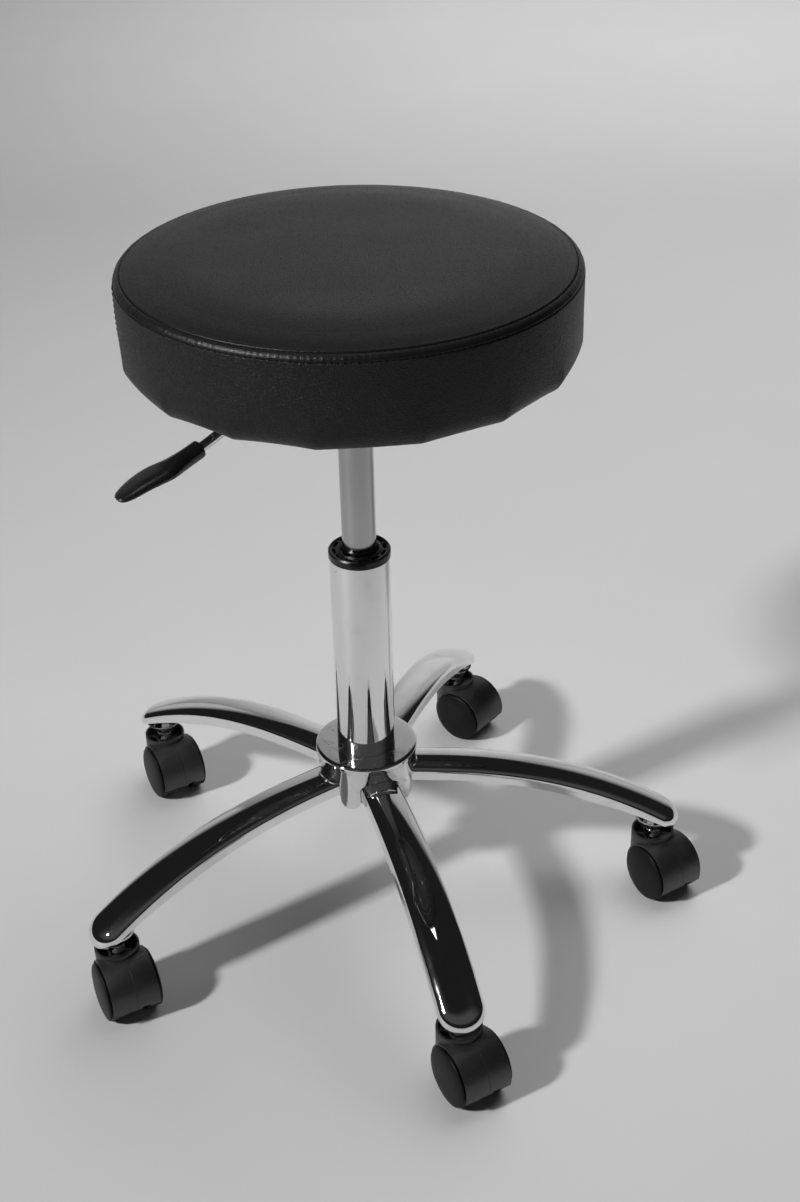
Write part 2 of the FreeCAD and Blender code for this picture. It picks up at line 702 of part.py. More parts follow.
def make_hood():
    """Fender over both wheels with the stem cup in front, a centre web and ribs in the cup."""
    drum = axle_drum(HOOD_R, -HOOD_HALF, HOOD_HALF)
    cup = ring(CUP_R, 0, HOOD_BOTTOM, CUP_TOP)
    body = drum.fuse(cup).cut(Part.makeBox(100, 120, 30, V(-50, -80, HOOD_BOTTOM - 30)))
    well = ring(CUP_R - CUP_WALL, STEM_R + 2.6, CUP_FLOOR, CUP_TOP + 1).cut(axle_drum(HOOD_R, -40, 40))
    boss_top = ring(STEM_R + 2.6, 0, CUP_TOP - 7.5, CUP_TOP + 1)
    wheel_room = [
        axle_drum(WHEEL_R + HOOD_GAP, HOOD_WEB_HALF, 40),
        axle_drum(WHEEL_R + HOOD_GAP, -40, -HOOD_WEB_HALF),
    ]
    body = cut_by(body, [well, boss_top] + wheel_room)
    rib_start = STEM_R + 2.4
    rib = Part.makeBox(CUP_R - 1 - rib_start, 1.4, RIB_TOP - CUP_FLOOR, V(rib_start, -0.7, CUP_FLOOR))
    rib_count = 6
    ribs = [around_z(rib, 30 + k * 360.0 / rib_count) for k in range(rib_count)]
    ribs = [cut_by(r, wheel_room) for r in ribs]
    body = fused([body] + ribs)
    bores = [
        ring(STEM_R, 0, STEM_BOTTOM, CUP_TOP + 1),
        axle_drum(AXLE_R, -HOOD_WEB_HALF - 1, HOOD_WEB_HALF + 1),
    ]
    notch = Part.makeBox(7, 9, 2.2, V(4.0, -CASTER_OFFSET - HOOD_R - 1, HOOD_BOTTOM - 0.1))
    return cut_by(body, bores + [notch])


def make_stem():
    collar = CUP_TOP - 7.5
    return turned([
        (0, STEM_BOTTOM), (STEM_R, STEM_BOTTOM), (STEM_R, collar), (STEM_R + 1.6, collar),
        (STEM_R + 1.6, BOSS_BOTTOM - 0.8), (STEM_R + 1.2, BOSS_BOTTOM - 0.4), (STEM_R, BOSS_BOTTOM - 0.4),
        (STEM_R, STEM_TOP - 6),
        (STEM_R - 0.6, STEM_TOP - 5), (STEM_R - 0.6, STEM_TOP - 3), (STEM_R, STEM_TOP - 2),
        (STEM_R - 1.0, STEM_TOP), (0, STEM_TOP),
    ])


def make_axle():
    return axle_drum(AXLE_R, -17.5, 17.5)


def place_caster(shape, index):
    """Turn the caster about its stem, then carry it to the end of its arm."""
    placed = around_z(shape, CASTER_AXLE_AZIMUTHS[index])
    reach = math.radians(ARM_STEP * index)
    placed.translate(V(CASTER_REACH * math.cos(reach), CASTER_REACH * math.sin(reach), 0))
    return placed


# ---------------------------------------------------------------- build the parts
def build_base():
    blank = arm_blank(0)
    arm = make_arm(blank)
    for k in range(ARM_COUNT):
        save("arm_%d" % (k + 1), around_z(arm, ARM_STEP * k))
    blanks = [around_z(blank, ARM_STEP * k) for k in range(ARM_COUNT)]
    save("hub", make_hub(blanks))
    save("hub_socket", make_hub_socket())
    socket = make_stem_socket().cut(arm)
    save("stem_sockets", Part.makeCompound([around_z(socket, ARM_STEP * k) for k in range(ARM_COUNT)]))
    save("column_tube", make_column_tube())
    save("tube_cap", make_tube_cap())
    save("guide_bush", make_guide_bush())


def build_lift():
    lower, balls, upper, shoulder = make_bearing()
    save("bearing_lower_race", lower)
    save("bearing_balls", balls)
    save("bearing_upper_race", upper)
    save("piston_rod", make_piston_rod(shoulder))
    save("rod_clip", make_rod_clip())
    save("piston", make_piston())
    save("gas_cylinder", make_gas_cylinder())
    save("valve_pin", make_valve_pin())


def build_mechanism():
    save("cone_socket", to_lever(make_cone_socket()))
    save("lever_channel", make_channel())
    save("lever_pivot_pin", make_pivot_pin())
    save("seat_plate", make_seat_plate())
    rod = make_lever_rod()
    save("lever_rod", rod)
    save("lever_grip", make_lever_grip(rod))


def build_seat():
    screws = [make_screw(x, y) for x, y in screw_places()]
    nuts = [make_tee_nut(x, y) for x, y in screw_places()]
    save("plate_screws", Part.makeCompound(screws))
    save("tee_nuts", Part.makeCompound(nuts))
    blank = make_board_blank()
    save("seat_board", make_board(blank))
    save("seat_foam", make_foam(blank, nuts))
    top_panel, strip = make_covers()
    save("cover_top", top_panel)
    save("cover_side", strip)
    save("dust_cloth", make_dust_cloth(screws))
    save("cover_staples", make_staples())


def build_casters():
    hood = make_hood()
    stem = make_stem()
    axle = make_axle()
    wheel_a = make_wheel(-1)
    wheel_b = make_wheel(1)
    for k in range(ARM_COUNT):
        name = "caster_%d_" % (k + 1)
        save(name + "hood", place_caster(hood, k))
        save(name + "stem", place_caster(stem, k))
        save(name + "axle", place_caster(axle, k))
        save(name + "wheel_a", place_caster(wheel_a, k))
        save(name + "wheel_b", place_caster(wheel_b, k))


build_base()
build_lift()
build_mechanism()
build_seat()
build_casters()
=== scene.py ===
# %% [markdown]
# # Adjustable swivel stool
# A round upholstered seat stands on a gas lift column, a chromed five-arm base and twin-wheel
# casters. The CAD model is loaded first as a fixed frame. Each step then builds one piece around it
# as a surface worked out with numpy, gives it a finish, and says which moving body carries it.

# %% Load the frame
import math
import bmesh
import bpy
import numpy as np
from mathutils import Matrix, Vector


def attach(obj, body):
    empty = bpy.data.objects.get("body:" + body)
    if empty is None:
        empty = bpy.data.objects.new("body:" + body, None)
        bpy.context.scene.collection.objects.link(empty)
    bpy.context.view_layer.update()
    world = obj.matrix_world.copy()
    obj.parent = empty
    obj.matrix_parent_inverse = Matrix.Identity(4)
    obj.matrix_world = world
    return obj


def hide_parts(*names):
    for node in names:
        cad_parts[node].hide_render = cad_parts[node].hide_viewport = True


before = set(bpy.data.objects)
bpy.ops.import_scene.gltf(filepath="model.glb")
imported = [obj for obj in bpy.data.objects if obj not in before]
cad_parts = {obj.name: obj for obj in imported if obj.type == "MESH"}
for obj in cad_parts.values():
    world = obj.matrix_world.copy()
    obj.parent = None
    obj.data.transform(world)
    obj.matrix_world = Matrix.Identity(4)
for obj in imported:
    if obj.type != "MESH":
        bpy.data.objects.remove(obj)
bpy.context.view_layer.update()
MM = 0.001

# %% [markdown]
# ## Camera
# The stool is seen from the front at standing height, looking about thirty degrees down. The axes
# come from a heading, a pitch and a small roll, so that each angle can be changed on its own.

# %% Camera
EYE = Vector((0.07205, -1.2346, 1.0619))
HEADING, PITCH, ROLL = math.radians(91.855), math.radians(31.80), math.radians(-1.325)
LENS = 52.57


def camera_axes():
    """Right, up and forward: forward turned by the heading and tipped by the pitch, then rolled."""
    flat = math.cos(PITCH)
    forward = Vector((math.cos(HEADING) * flat, math.sin(HEADING) * flat, -math.sin(PITCH)))
    level = forward.cross(Vector((0, 0, 1))).normalized()
    upright = level.cross(forward)
    right = level * math.cos(ROLL) + upright * math.sin(ROLL)
    up = upright * math.cos(ROLL) - level * math.sin(ROLL)
    return right, up, forward


def add_camera():
    right, up, forward = camera_axes()
    data = bpy.data.cameras.new("view")
    data.lens = LENS
    data.clip_end = 50
    camera = bpy.data.objects.new("view", data)
    camera.matrix_world = Matrix.Translation(EYE) @ Matrix((right, up, -forward)).transposed().to_4x4()
    bpy.context.scene.collection.objects.link(camera)
    bpy.context.scene.camera = camera


add_camera()
print("lens", LENS, "mm")

# %% [markdown]
# ## From a grid of points to a mesh
# Most pieces here are a function of two parameters, sampled on a grid. One helper turns the grid
# into faces, another welds doubled points and turns the faces outwards. Shapes are worked out in
# millimetres and become metres only here, so the numbers read like a drawing.

# %% Mesh helpers
def grid_faces(rows, columns, wrap_rows=False, wrap_columns=False):
    """Four-sided faces between neighbouring grid points; a wrapped side joins its last line to its first."""
    index = np.arange(rows * columns).reshape(rows, columns)
    if wrap_rows:
        index = np.vstack([index, index[:1]])
    if wrap_columns:
        index = np.hstack([index, index[:, :1]])
    return np.stack([index[:-1, :-1], index[1:, :-1], index[1:, 1:], index[:-1, 1:]], -1).reshape(-1, 4)


def crease(mesh, angle):
    """Smooth shading, broken where neighbouring faces meet at more than the angle."""
    mesh.shade_smooth()
    mesh.set_sharp_from_angle(angle=math.radians(angle))


def add_object(name, mesh):
    piece = bpy.data.objects.new(name, mesh)
    bpy.context.scene.collection.objects.link(piece)
    return piece


def mesh_piece(name, points, faces, finish, angle=40.0, upward=False):
    """A welded, outward-facing mesh from points in millimetres; an open sheet can be told to face up."""
    mesh = bpy.data.meshes.new(name)
    mesh.from_pydata((np.asarray(points).reshape(-1, 3) * MM).tolist(), [], np.asarray(faces).tolist())
    work = bmesh.new()
    work.from_mesh(mesh)
    bmesh.ops.remove_doubles(work, verts=work.verts, dist=2e-6)
    bmesh.ops.dissolve_degenerate(work, edges=work.edges, dist=1e-7)
    bmesh.ops.recalc_face_normals(work, faces=work.faces)
    if upward and sum(f.normal.z * f.calc_area() for f in work.faces) < 0:
        bmesh.ops.reverse_faces(work, faces=work.faces)
    work.to_mesh(mesh)
    work.free()
    mesh.materials.append(finish)
    crease(mesh, angle)
    return add_object(name, mesh)


def bake_modifiers(piece, angle=40.0):
    """Put the modifiers' result into the mesh, so that the piece is plain geometry."""
    shown = piece.evaluated_get(bpy.context.evaluated_depsgraph_get())
    mesh = bpy.data.meshes.new_from_object(shown)
    piece.modifiers.clear()
    piece.data = mesh
    crease(mesh, angle)
    return piece


def solidify(piece, thickness, angle=40.0):
    """Give an outer skin its wall, grown inwards, in millimetres."""
    wall = piece.modifiers.new("wall", "SOLIDIFY")
    wall.thickness = thickness * MM
    wall.offset = -1
    wall.use_even_offset = True
    wall.use_quality_normals = True
    return bake_modifiers(piece, angle)


# %% [markdown]
# ## Profiles and turned parts
# A lathe part is a profile carried round an axis. Real corners are never knife sharp, so each
# corner of a profile is replaced by a short curve before it is turned.

# %% Turning helpers
def rounded(points, cuts, steps=4):
    """Each corner becomes a quadratic curve that starts and ends a cut's length from the corner."""
    points = np.asarray(points, float)
    cuts = np.broadcast_to(np.asarray(cuts, float), len(points))
    t = np.linspace(0, 1, steps + 1)[:, None]
    out = []
    for k, corner in enumerate(points):
        before, after = points[k - 1], points[(k + 1) % len(points)]
        if cuts[k] <= 0:
            out.append(corner[None])
            continue
        a = corner + (before - corner) * min(0.45, cuts[k] / np.linalg.norm(before - corner))
        b = corner + (after - corner) * min(0.45, cuts[k] / np.linalg.norm(after - corner))
        out.append((1 - t) ** 2 * a + 2 * t * (1 - t) * corner + t ** 2 * b)
    return np.vstack(out)


def turn(profile, segments=96):
    """(radius, height) points carried round Z: x = r cos, y = r sin, z = height."""
    angle = np.linspace(0, 2 * np.pi, segments, endpoint=False)
    r, z = profile[:, :1], profile[:, 1:]
    return np.stack([r * np.cos(angle), r * np.sin(angle), z + 0 * angle], -1)


def turned_piece(name, profile, cuts, finish, segments=96, angle=40.0):
    """A closed lathe part from the corners of its half section."""
    outline = rounded(profile, cuts)
    points = turn(outline, segments)
    return mesh_piece(name, points, grid_faces(len(outline), segments, True, True), finish, angle)


def spin(points, degrees):
    """Points turned about Z."""
    a = math.radians(degrees)
    turn_matrix = np.array([[math.cos(a), math.sin(a), 0], [-math.sin(a), math.cos(a), 0], [0, 0, 1]])
    return np.asarray(points) @ turn_matrix


def smoothstep(low, high, x):
    """Zero below low, one above high, and a smooth S between."""
    t = np.clip((x - low) / (high - low), 0, 1)
    return t * t * (3 - 2 * t)


# %% [markdown]
# ## A small language for finishes
# A finish is a graph of shader nodes. Wrapping a socket in a class with arithmetic lets a mask be
# written as an expression, and each operator adds its own Math node. Every other node comes from
# one method that takes the type, then its settings, then its sockets.

# %% Shader helpers
class Wire:
    """One output socket; arithmetic on it adds Math nodes."""

    def __init__(self, tree, socket):
        self.tree, self.socket = tree, socket

    def math(self, operation, *others, flip=False):
        node = self.tree.nodes.new("ShaderNodeMath")
        node.operation = operation
        values = list(reversed((self,) + others)) if flip else (self,) + others
        for slot, value in zip(node.inputs, values):
            join(self.tree, value, slot)
        return Wire(self.tree, node.outputs[0])

    def __add__(self, other):
        return self.math("ADD", other)

    def __sub__(self, other):
        return self.math("SUBTRACT", other)

    def __rsub__(self, other):
        return self.math("SUBTRACT", other, flip=True)

    def __mul__(self, other):
        return self.math("MULTIPLY", other)

    def absolute(self):
        return self.math("ABSOLUTE")

    def above(self, low, high):
        """Zero below low, one above high."""
        node = self.tree.nodes.new("ShaderNodeMapRange")
        node.interpolation_type = "SMOOTHSTEP"
        join(self.tree, self, node.inputs["Value"])
        node.inputs["From Min"].default_value = low
        node.inputs["From Max"].default_value = high
        return Wire(self.tree, node.outputs["Result"])


def join(tree, value, slot):
    if isinstance(value, Wire):
        tree.links.new(value.socket, slot)
    elif isinstance(value, (tuple, list)) and slot.type == "RGBA" and len(value) == 3:
        slot.default_value = (*value, 1.0)
    else:
        slot.default_value = value


class Finish:
    """A material with a Principled surface, built up by small calls."""

    def __init__(self, name, **fixed):
        self.material = bpy.data.materials.new(name)
        self.material.use_nodes = True
        self.tree = self.material.node_tree
        self.surface = self.tree.nodes["Principled BSDF"]
        self.where = self.add("ShaderNodeTexCoord", output="Object")
        self.set(**fixed)

    def set(self, **sockets):
        for name, value in sockets.items():
            join(self.tree, value, self.surface.inputs[name.replace("_", " ")])
        return self.material

    def add(self, kind, settings=None, output=0, **sockets):
        node = self.tree.nodes.new(kind)
        for name, value in (settings or {}).items():
            setattr(node, name, value)
        for name, value in sockets.items():
            join(self.tree, value, node.inputs[name.replace("_", " ")])
        return Wire(self.tree, node.outputs[output])

    def noise(self, scale, detail=3.0, roughness=0.55, stretch=None, distortion=0.0):
        """Cloudy values about one half; the scale is in repeats a metre."""
        return self.add("ShaderNodeTexNoise", output="Fac", Vector=self.stretched(stretch), Scale=scale,
                        Detail=detail, Roughness=roughness, Distortion=distortion)

    def cells(self, scale, feature="F1", vector=None, output="Distance"):
        """Distance to scattered cell centres, or to the edges between cells."""
        return self.add("ShaderNodeTexVoronoi", {"feature": feature}, output=output,
                        Vector=vector or self.where, Scale=scale)

    def stretched(self, stretch):
        if stretch is None:
            return self.where
        return self.add("ShaderNodeMapping", Vector=self.where, Scale=stretch)

    def blend(self, share, low, high):
        """Two colours mixed by a share."""
        node = self.tree.nodes.new("ShaderNodeMix")
        node.data_type = "RGBA"
        join(self.tree, share, node.inputs[0])
        join(self.tree, low, node.inputs[6])
        join(self.tree, high, node.inputs[7])
        return Wire(self.tree, node.outputs[2])

    def bump(self, height, depth, under=None):
        """Relief of the given depth in millimetres, laid over another relief if there is one."""
        sockets = {"Height": height, "Distance": depth * MM, "Strength": 1.0}
        if under is not None:
            sockets["Normal"] = under
        return self.add("ShaderNodeBump", output="Normal", **sockets)


def grey(value):
    return (value, value, value)


# %% [markdown]
# ## Metal finishes
# Chrome plate is a mirror with a little haze: fingerprints and polishing marks raise the roughness
# in patches, and the pressed steel under it is never quite flat. The lift's cylinder is ground and
# satin plated, so its fine lines run round it. Zinc and bare steel are duller and mottled.

# %% Chrome, satin and bare steel
def chrome(name, smear=0.10, marks=0.0):
    f = Finish(name, Metallic=1.0, IOR=2.5)
    haze = f.noise(38, 4).above(0.50, 0.78)
    lines = f.noise(160, 5, stretch=(1.0, 0.12, 0.6)).above(0.55, 0.72)
    dust = f.cells(420).above(0.16, 0.05) * f.noise(19, 2).above(0.56, 0.72)
    scuffs = f.noise(95, 6, 0.7, distortion=1.2).above(0.52, 0.66) * marks
    ripple = f.bump(f.noise(14, 1), 0.055)
    grain = f.bump(lines, 0.0012, under=ripple)
    return f.set(Base_Color=f.blend(haze * 0.5 + dust + scuffs, grey(0.82), grey(0.66)),
                 Roughness=haze * smear + lines * 0.03 + dust * 0.25 + scuffs * 0.22 + 0.035, Normal=grain)


def satin_steel():
    f = Finish("satin_steel", Metallic=1.0)
    rings = f.noise(900, 3, stretch=(0.02, 0.02, 1.0))
    wear = f.noise(22, 4, stretch=(1.0, 1.0, 0.25)).above(0.45, 0.75)
    return f.set(Base_Color=f.blend(wear, grey(0.44), grey(0.37)),
                 Roughness=wear * 0.07 + rings * 0.06 + 0.13, Normal=f.bump(rings, 0.0006))


def dull_steel(name, tone=0.42, rough=0.32):
    f = Finish(name, Metallic=1.0)
    mottle = f.noise(140, 4)
    flakes = f.cells(520, output="Color")
    return f.set(Base_Color=f.blend(mottle, grey(tone * 0.8), grey(tone * 1.15)),
                 Roughness=mottle * 0.18 + rough, Normal=f.bump(f.noise(700, 2) + flakes * 0.2, 0.006))


CHROME = chrome("chrome")
CHROME_HUB = chrome("chrome_hub", 0.12, 1.0)
SATIN = satin_steel()
STEEL = dull_steel("bare_steel")
ZINC = dull_steel("zinc_plate", 0.55, 0.26)
print("metals", [m.name for m in (CHROME, CHROME_HUB, SATIN, STEEL, ZINC)])

# %% [markdown]
# ## Moulded plastic and paint
# The hoods are moulded in a spark-eroded tool, which leaves a fine matt texture that glints where
# it faces the light. The wheel covers are smoother, with a soft sheen, and the release grip is
# slightly glossy. Each has faint dust and worn patches, because an even black looks like a hole.
# Pale specks on them are partly dust and partly painted glints, and the hood's mould line is painted
# black as painted shade in its groove.

# %% Plastics and paint
def spark_plastic(name, tone, rough, depth, size, gloss=0.35, line=False):
    f = Finish(name, IOR=1.5, Specular_IOR_Level=gloss)
    pits = f.cells(size) * 0.6 + f.noise(size * 1.4, 2) * 0.6
    dust = f.noise(30, 4).above(0.50, 0.80)
    specks = f.cells(520).above(0.22, 0.06) * f.noise(60, 2).above(0.50, 0.66)
    colour = f.blend(dust * 0.5, grey(tone), grey(tone * 1.9))
    # painted glints, partly dust: the specks lighten the colour to pale grey dots that stand in for sparkle
    colour = f.blend(specks * 0.30, colour, grey(0.22))
    relief = f.bump(pits, depth)
    if line:
        across = f.add("ShaderNodeAttribute", {"attribute_name": "across"}, output="Fac")
        groove = (across - 0.7).absolute().above(0.32, 0.12)
        # painted shade: the mould line's groove is painted black over its real relief
        colour = f.blend(groove, colour, grey(0.0))
        relief = f.bump(1 - groove, 0.10, under=relief)
        pits = pits + groove * 4
    return f.set(Base_Color=colour, Roughness=dust * 0.10 + pits * 0.12 + rough, Normal=relief)


def powder_paint():
    f = Finish("black_paint", IOR=1.5)
    peel = f.noise(420, 2)
    chips = f.cells(90).above(0.10, 0.03) * f.noise(28, 3).above(0.55, 0.62)
    return f.set(Base_Color=f.blend(chips, f.blend(f.noise(25, 3), grey(0.018), grey(0.032)), grey(0.30)),
                 Roughness=peel * 0.14 + 0.34, Normal=f.bump(peel, 0.05))


HOOD_PLASTIC = spark_plastic("caster_plastic", 0.008, 0.36, 0.09, 900, 0.9, line=True)
WHEEL_PLASTIC = spark_plastic("wheel_plastic", 0.007, 0.34, 0.008, 1500, 0.12)
CAP_PLASTIC = spark_plastic("black_plastic", 0.007, 0.22, 0.03, 1400)
GRIP_PLASTIC = spark_plastic("grip_plastic", 0.009, 0.20, 0.03, 1300, 0.6)
PALE_PLASTIC = spark_plastic("pale_plastic", 0.45, 0.34, 0.02, 1200)
PAINT = powder_paint()
print("plastics", [m.name for m in (HOOD_PLASTIC, WHEEL_PLASTIC, CAP_PLASTIC, GRIP_PLASTIC)])

# %% [markdown]
# ## Vinyl, thread and the hidden board
# The cover is leather-look vinyl. Its top is printed with a fine hair-cell grain and its side with
# coarser pebbles. Raised cells come from the distance to cell edges, warped by noise so that no two
# look alike, with smaller creases between, and the creases are painted darker as painted shade. The
# side's vinyl is given a darker tone than the top's, which is painted shade. Thread is twisted, the
# board is plywood.

# %% Vinyl, thread, plywood and fleece
def vinyl(name, cell, depth, tone, rough):
    f = Finish(name, IOR=1.48, Specular_IOR_Level=0.40)
    wobble = f.add("ShaderNodeTexNoise", output="Color", Vector=f.where, Scale=cell * 0.7, Detail=2.0)
    offset = f.add("ShaderNodeVectorMath", {"operation": "SCALE"}, Vector=wobble, Scale=0.55 / cell)
    warped = f.add("ShaderNodeVectorMath", {"operation": "ADD"}, output="Vector")
    join(f.tree, f.where, warped.socket.node.inputs[0])
    join(f.tree, offset, warped.socket.node.inputs[1])
    pebbles = f.cells(cell, "DISTANCE_TO_EDGE", vector=warped).above(0.0, 0.22)
    fine = f.cells(cell * 2.6, "DISTANCE_TO_EDGE", vector=warped).above(0.0, 0.20)
    patch = f.noise(9, 3).above(0.35, 0.75)
    relief = f.bump(pebbles * 0.72 + fine * 0.28, depth, under=f.bump(f.noise(48, 2), 0.16))
    lint = f.cells(170).above(0.07, 0.02) * f.noise(13, 2).above(0.54, 0.70)
    # painted shade: the creases between pebbles are darker in colour
    colour = f.blend(pebbles, grey(tone * 0.62), f.blend(patch, grey(tone), grey(tone * 1.25)))
    return f.set(Base_Color=f.blend(lint * 0.35, colour, grey(0.25)),
                 Roughness=patch * 0.06 + (1 - pebbles) * 0.14 + rough, Normal=relief)


def thread():
    f = Finish("thread", IOR=1.4, Specular_IOR_Level=0.2)
    fuzz = f.noise(2600, 3, stretch=(1.0, 1.0, 3.0))
    return f.set(Base_Color=f.blend(fuzz, grey(0.002), grey(0.008)), Roughness=fuzz * 0.2 + 0.6,
                 Normal=f.bump(fuzz, 0.06))


def plywood():
    f = Finish("plywood")
    grain = f.noise(70, 5, stretch=(0.15, 1.6, 1.0))
    plies = f.add("ShaderNodeTexWave", {"bands_direction": "Z"}, output="Fac", Vector=f.where, Scale=105.0,
                  Distortion=0.6)
    return f.set(Base_Color=f.blend(plies * 0.5 + grain * 0.5, (0.30, 0.20, 0.11), (0.58, 0.44, 0.28)),
                 Roughness=grain * 0.25 + 0.55, Normal=f.bump(grain, 0.12))


def fleece():
    f = Finish("dust_cloth", Sheen_Weight=0.3)
    fibres = f.noise(520, 5, 0.7, stretch=(1.0, 0.3, 1.0), distortion=1.5)
    dimples = f.cells(360).above(0.45, 0.15)
    return f.set(Base_Color=f.blend(fibres, grey(0.010), grey(0.05)), Roughness=fibres * 0.1 + 0.85,
                 Normal=f.bump(fibres + dimples * 0.8, 0.12))


VINYL_TOP = vinyl("vinyl_top", 520, 0.07, 0.007, 0.31)
# painted shade: the side has a darker tone (0.0045) than the top (0.007), though it is the same vinyl
VINYL_SIDE = vinyl("vinyl_side", 400, 0.30, 0.0045, 0.36)
THREAD, PLYWOOD, FLEECE = thread(), plywood(), fleece()
print("soft finishes", [m.name for m in (VINYL_TOP, VINYL_SIDE, THREAD, PLYWOOD, FLEECE)])

# %% [markdown]
# ## The five pressed arms
# Each arm is one steel pressing: an upturned channel that arches down from the hub to a rounded
# nose. Lofting separate sections would leave the nose to be patched, so the whole arm is one
# surface instead. A spine runs out along the crown, the outline is walked from the root along one
# side, round the nose and back, and the section goes from the spine out over the shoulder and down.

# %% Arm shape
ARM_COUNT, ARM_STEP = 5, 72.0
ARM_ROOT, ARM_TIP, ARM_START = 44.0, 280.0, 30.7
ARM_CROWN_Z, ARM_FALL, ARM_POWER = 138.5, 65.5, 2.4
ARM_ROOT_HALF, ARM_TIP_HALF, ARM_NOSE = 17.0, 19.0, 19.6
ARM_SHOULDER_DROP, ARM_DEPTH, ARM_TIP_DEPTH, ARM_TAPER_FROM = 8.2, 15.5, 10.5, 205.0
ARM_SHEET, ARM_TIP_LIP = 2.0, 0.4


def arm_share(reach):
    return np.clip((reach - ARM_ROOT) / (ARM_TIP - ARM_ROOT), 0, None)


def arm_crown(reach):
    """Height of the crown: level at the hub, falling as a power of the distance out."""
    return ARM_CROWN_Z - ARM_FALL * arm_share(reach) ** ARM_POWER


def arm_slope(reach):
    return np.arctan(-ARM_FALL * ARM_POWER / (ARM_TIP - ARM_ROOT) * arm_share(reach) ** (ARM_POWER - 1))


def arm_outer():
    """Points (along the outline, across the section): crown point + side - normal times drop."""
    end_slope = arm_slope(ARM_TIP)
    spine_end = ARM_TIP - ARM_NOSE * np.cos(end_slope)
    run = np.linspace(ARM_START, spine_end, 90)
    nose = np.linspace(np.pi / 2, -np.pi / 2, 41)[1:-1]
    spine = np.concatenate([run, np.full(len(nose), spine_end), run[::-1]])[:, None]
    angle = np.concatenate([np.full(len(run), np.pi / 2), nose, np.full(len(run), -np.pi / 2)])[:, None]
    side_half = ARM_ROOT_HALF + (ARM_TIP_HALF - ARM_ROOT_HALF) * arm_share(spine)
    half = side_half + (ARM_NOSE - side_half) * np.cos(angle) ** 2
    # across: a flattened quarter ellipse over the crown and shoulder, then the straight wall
    lean = np.linspace(0, np.pi / 2, 17)
    out = np.sin(lean) ** 0.94
    down = 1 - np.cos(lean) ** 0.94
    wall = np.linspace(0, 1, 6)[1:]
    out = np.concatenate([out, np.ones(len(wall))])[None]
    reach = spine + np.cos(angle) * half * out * np.cos(end_slope)
    to_tip = np.clip((reach[:, -1:] - ARM_TAPER_FROM) / (ARM_TIP - ARM_TAPER_FROM), 0, 1)
    depth = ARM_DEPTH - (ARM_DEPTH - ARM_TIP_DEPTH) * to_tip
    shoulder = ARM_SHOULDER_DROP + (ARM_TIP_DEPTH - ARM_TIP_LIP - ARM_SHOULDER_DROP) * to_tip ** 2
    drop = np.hstack([shoulder * down[None], shoulder + (depth - shoulder) * wall[None]])
    slope = arm_slope(reach)
    return np.stack([reach + np.sin(slope) * drop, np.sin(angle) * half * out,
                     arm_crown(reach) - np.cos(slope) * drop], -1)


def add_arms():
    outer = arm_outer()
    faces = grid_faces(*outer.shape[:2])
    for k in range(ARM_COUNT):
        arm = mesh_piece(f"base_arm_{k + 1}", spin(outer, ARM_STEP * k), faces, CHROME, upward=True)
        solidify(arm, ARM_SHEET, 50)
        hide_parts(f"arm_{k + 1}")
        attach(arm, "base")
        print(arm.name, len(arm.data.polygons), "faces")


add_arms()

# %% [markdown]
# ## Hub
# The hub is a shallow chromed cup, upside down: a disc round the column, a rolled rim, and a skirt
# with an opening for each arm and a rounded tab between arms. On a grid of angle by profile, only
# the lower edge depends on the angle, so its height is worked out per column.

# %% Hub
HUB_TOP, HUB_RIM, HUB_SKIRT, HUB_BORE, HUB_SHEET = 154.0, 44.15, 43.0, 25.05, 2.2
TAB_BOTTOM, TAB_ROUND, OPENING_EDGE = 110.0, 9.4, 23.7


def hub_columns():
    """Angles with doubled lines where the opening's edge jumps down to the tab."""
    opening = np.linspace(-OPENING_EDGE, OPENING_EDGE, 45)
    tab = np.linspace(OPENING_EDGE + 0.12, ARM_STEP - OPENING_EDGE - 0.12, 33)
    sector = np.concatenate([opening, tab])
    return np.concatenate([sector + ARM_STEP * k for k in range(ARM_COUNT)])


def hub_edge(degrees):
    """Lower edge: over an arm it follows the arm's crown, elsewhere it is the tab's half round."""
    off_arm = (degrees + ARM_STEP / 2) % ARM_STEP - ARM_STEP / 2
    side = HUB_SKIRT * np.sin(np.radians(off_arm)) / (ARM_ROOT_HALF + 0.35)
    over = arm_crown(HUB_SKIRT) + 0.35 - ARM_SHOULDER_DROP * (1 - np.sqrt(np.clip(1 - side ** 2, 0, 1)))
    off_tab = (degrees % ARM_STEP) - ARM_STEP / 2
    across = HUB_SKIRT * np.sin(np.radians(off_tab))
    tab = TAB_BOTTOM + TAB_ROUND - np.sqrt(np.clip(TAB_ROUND ** 2 - across ** 2, 0, None))
    return np.where(np.abs(off_arm) <= OPENING_EDGE + 0.01, over, tab)


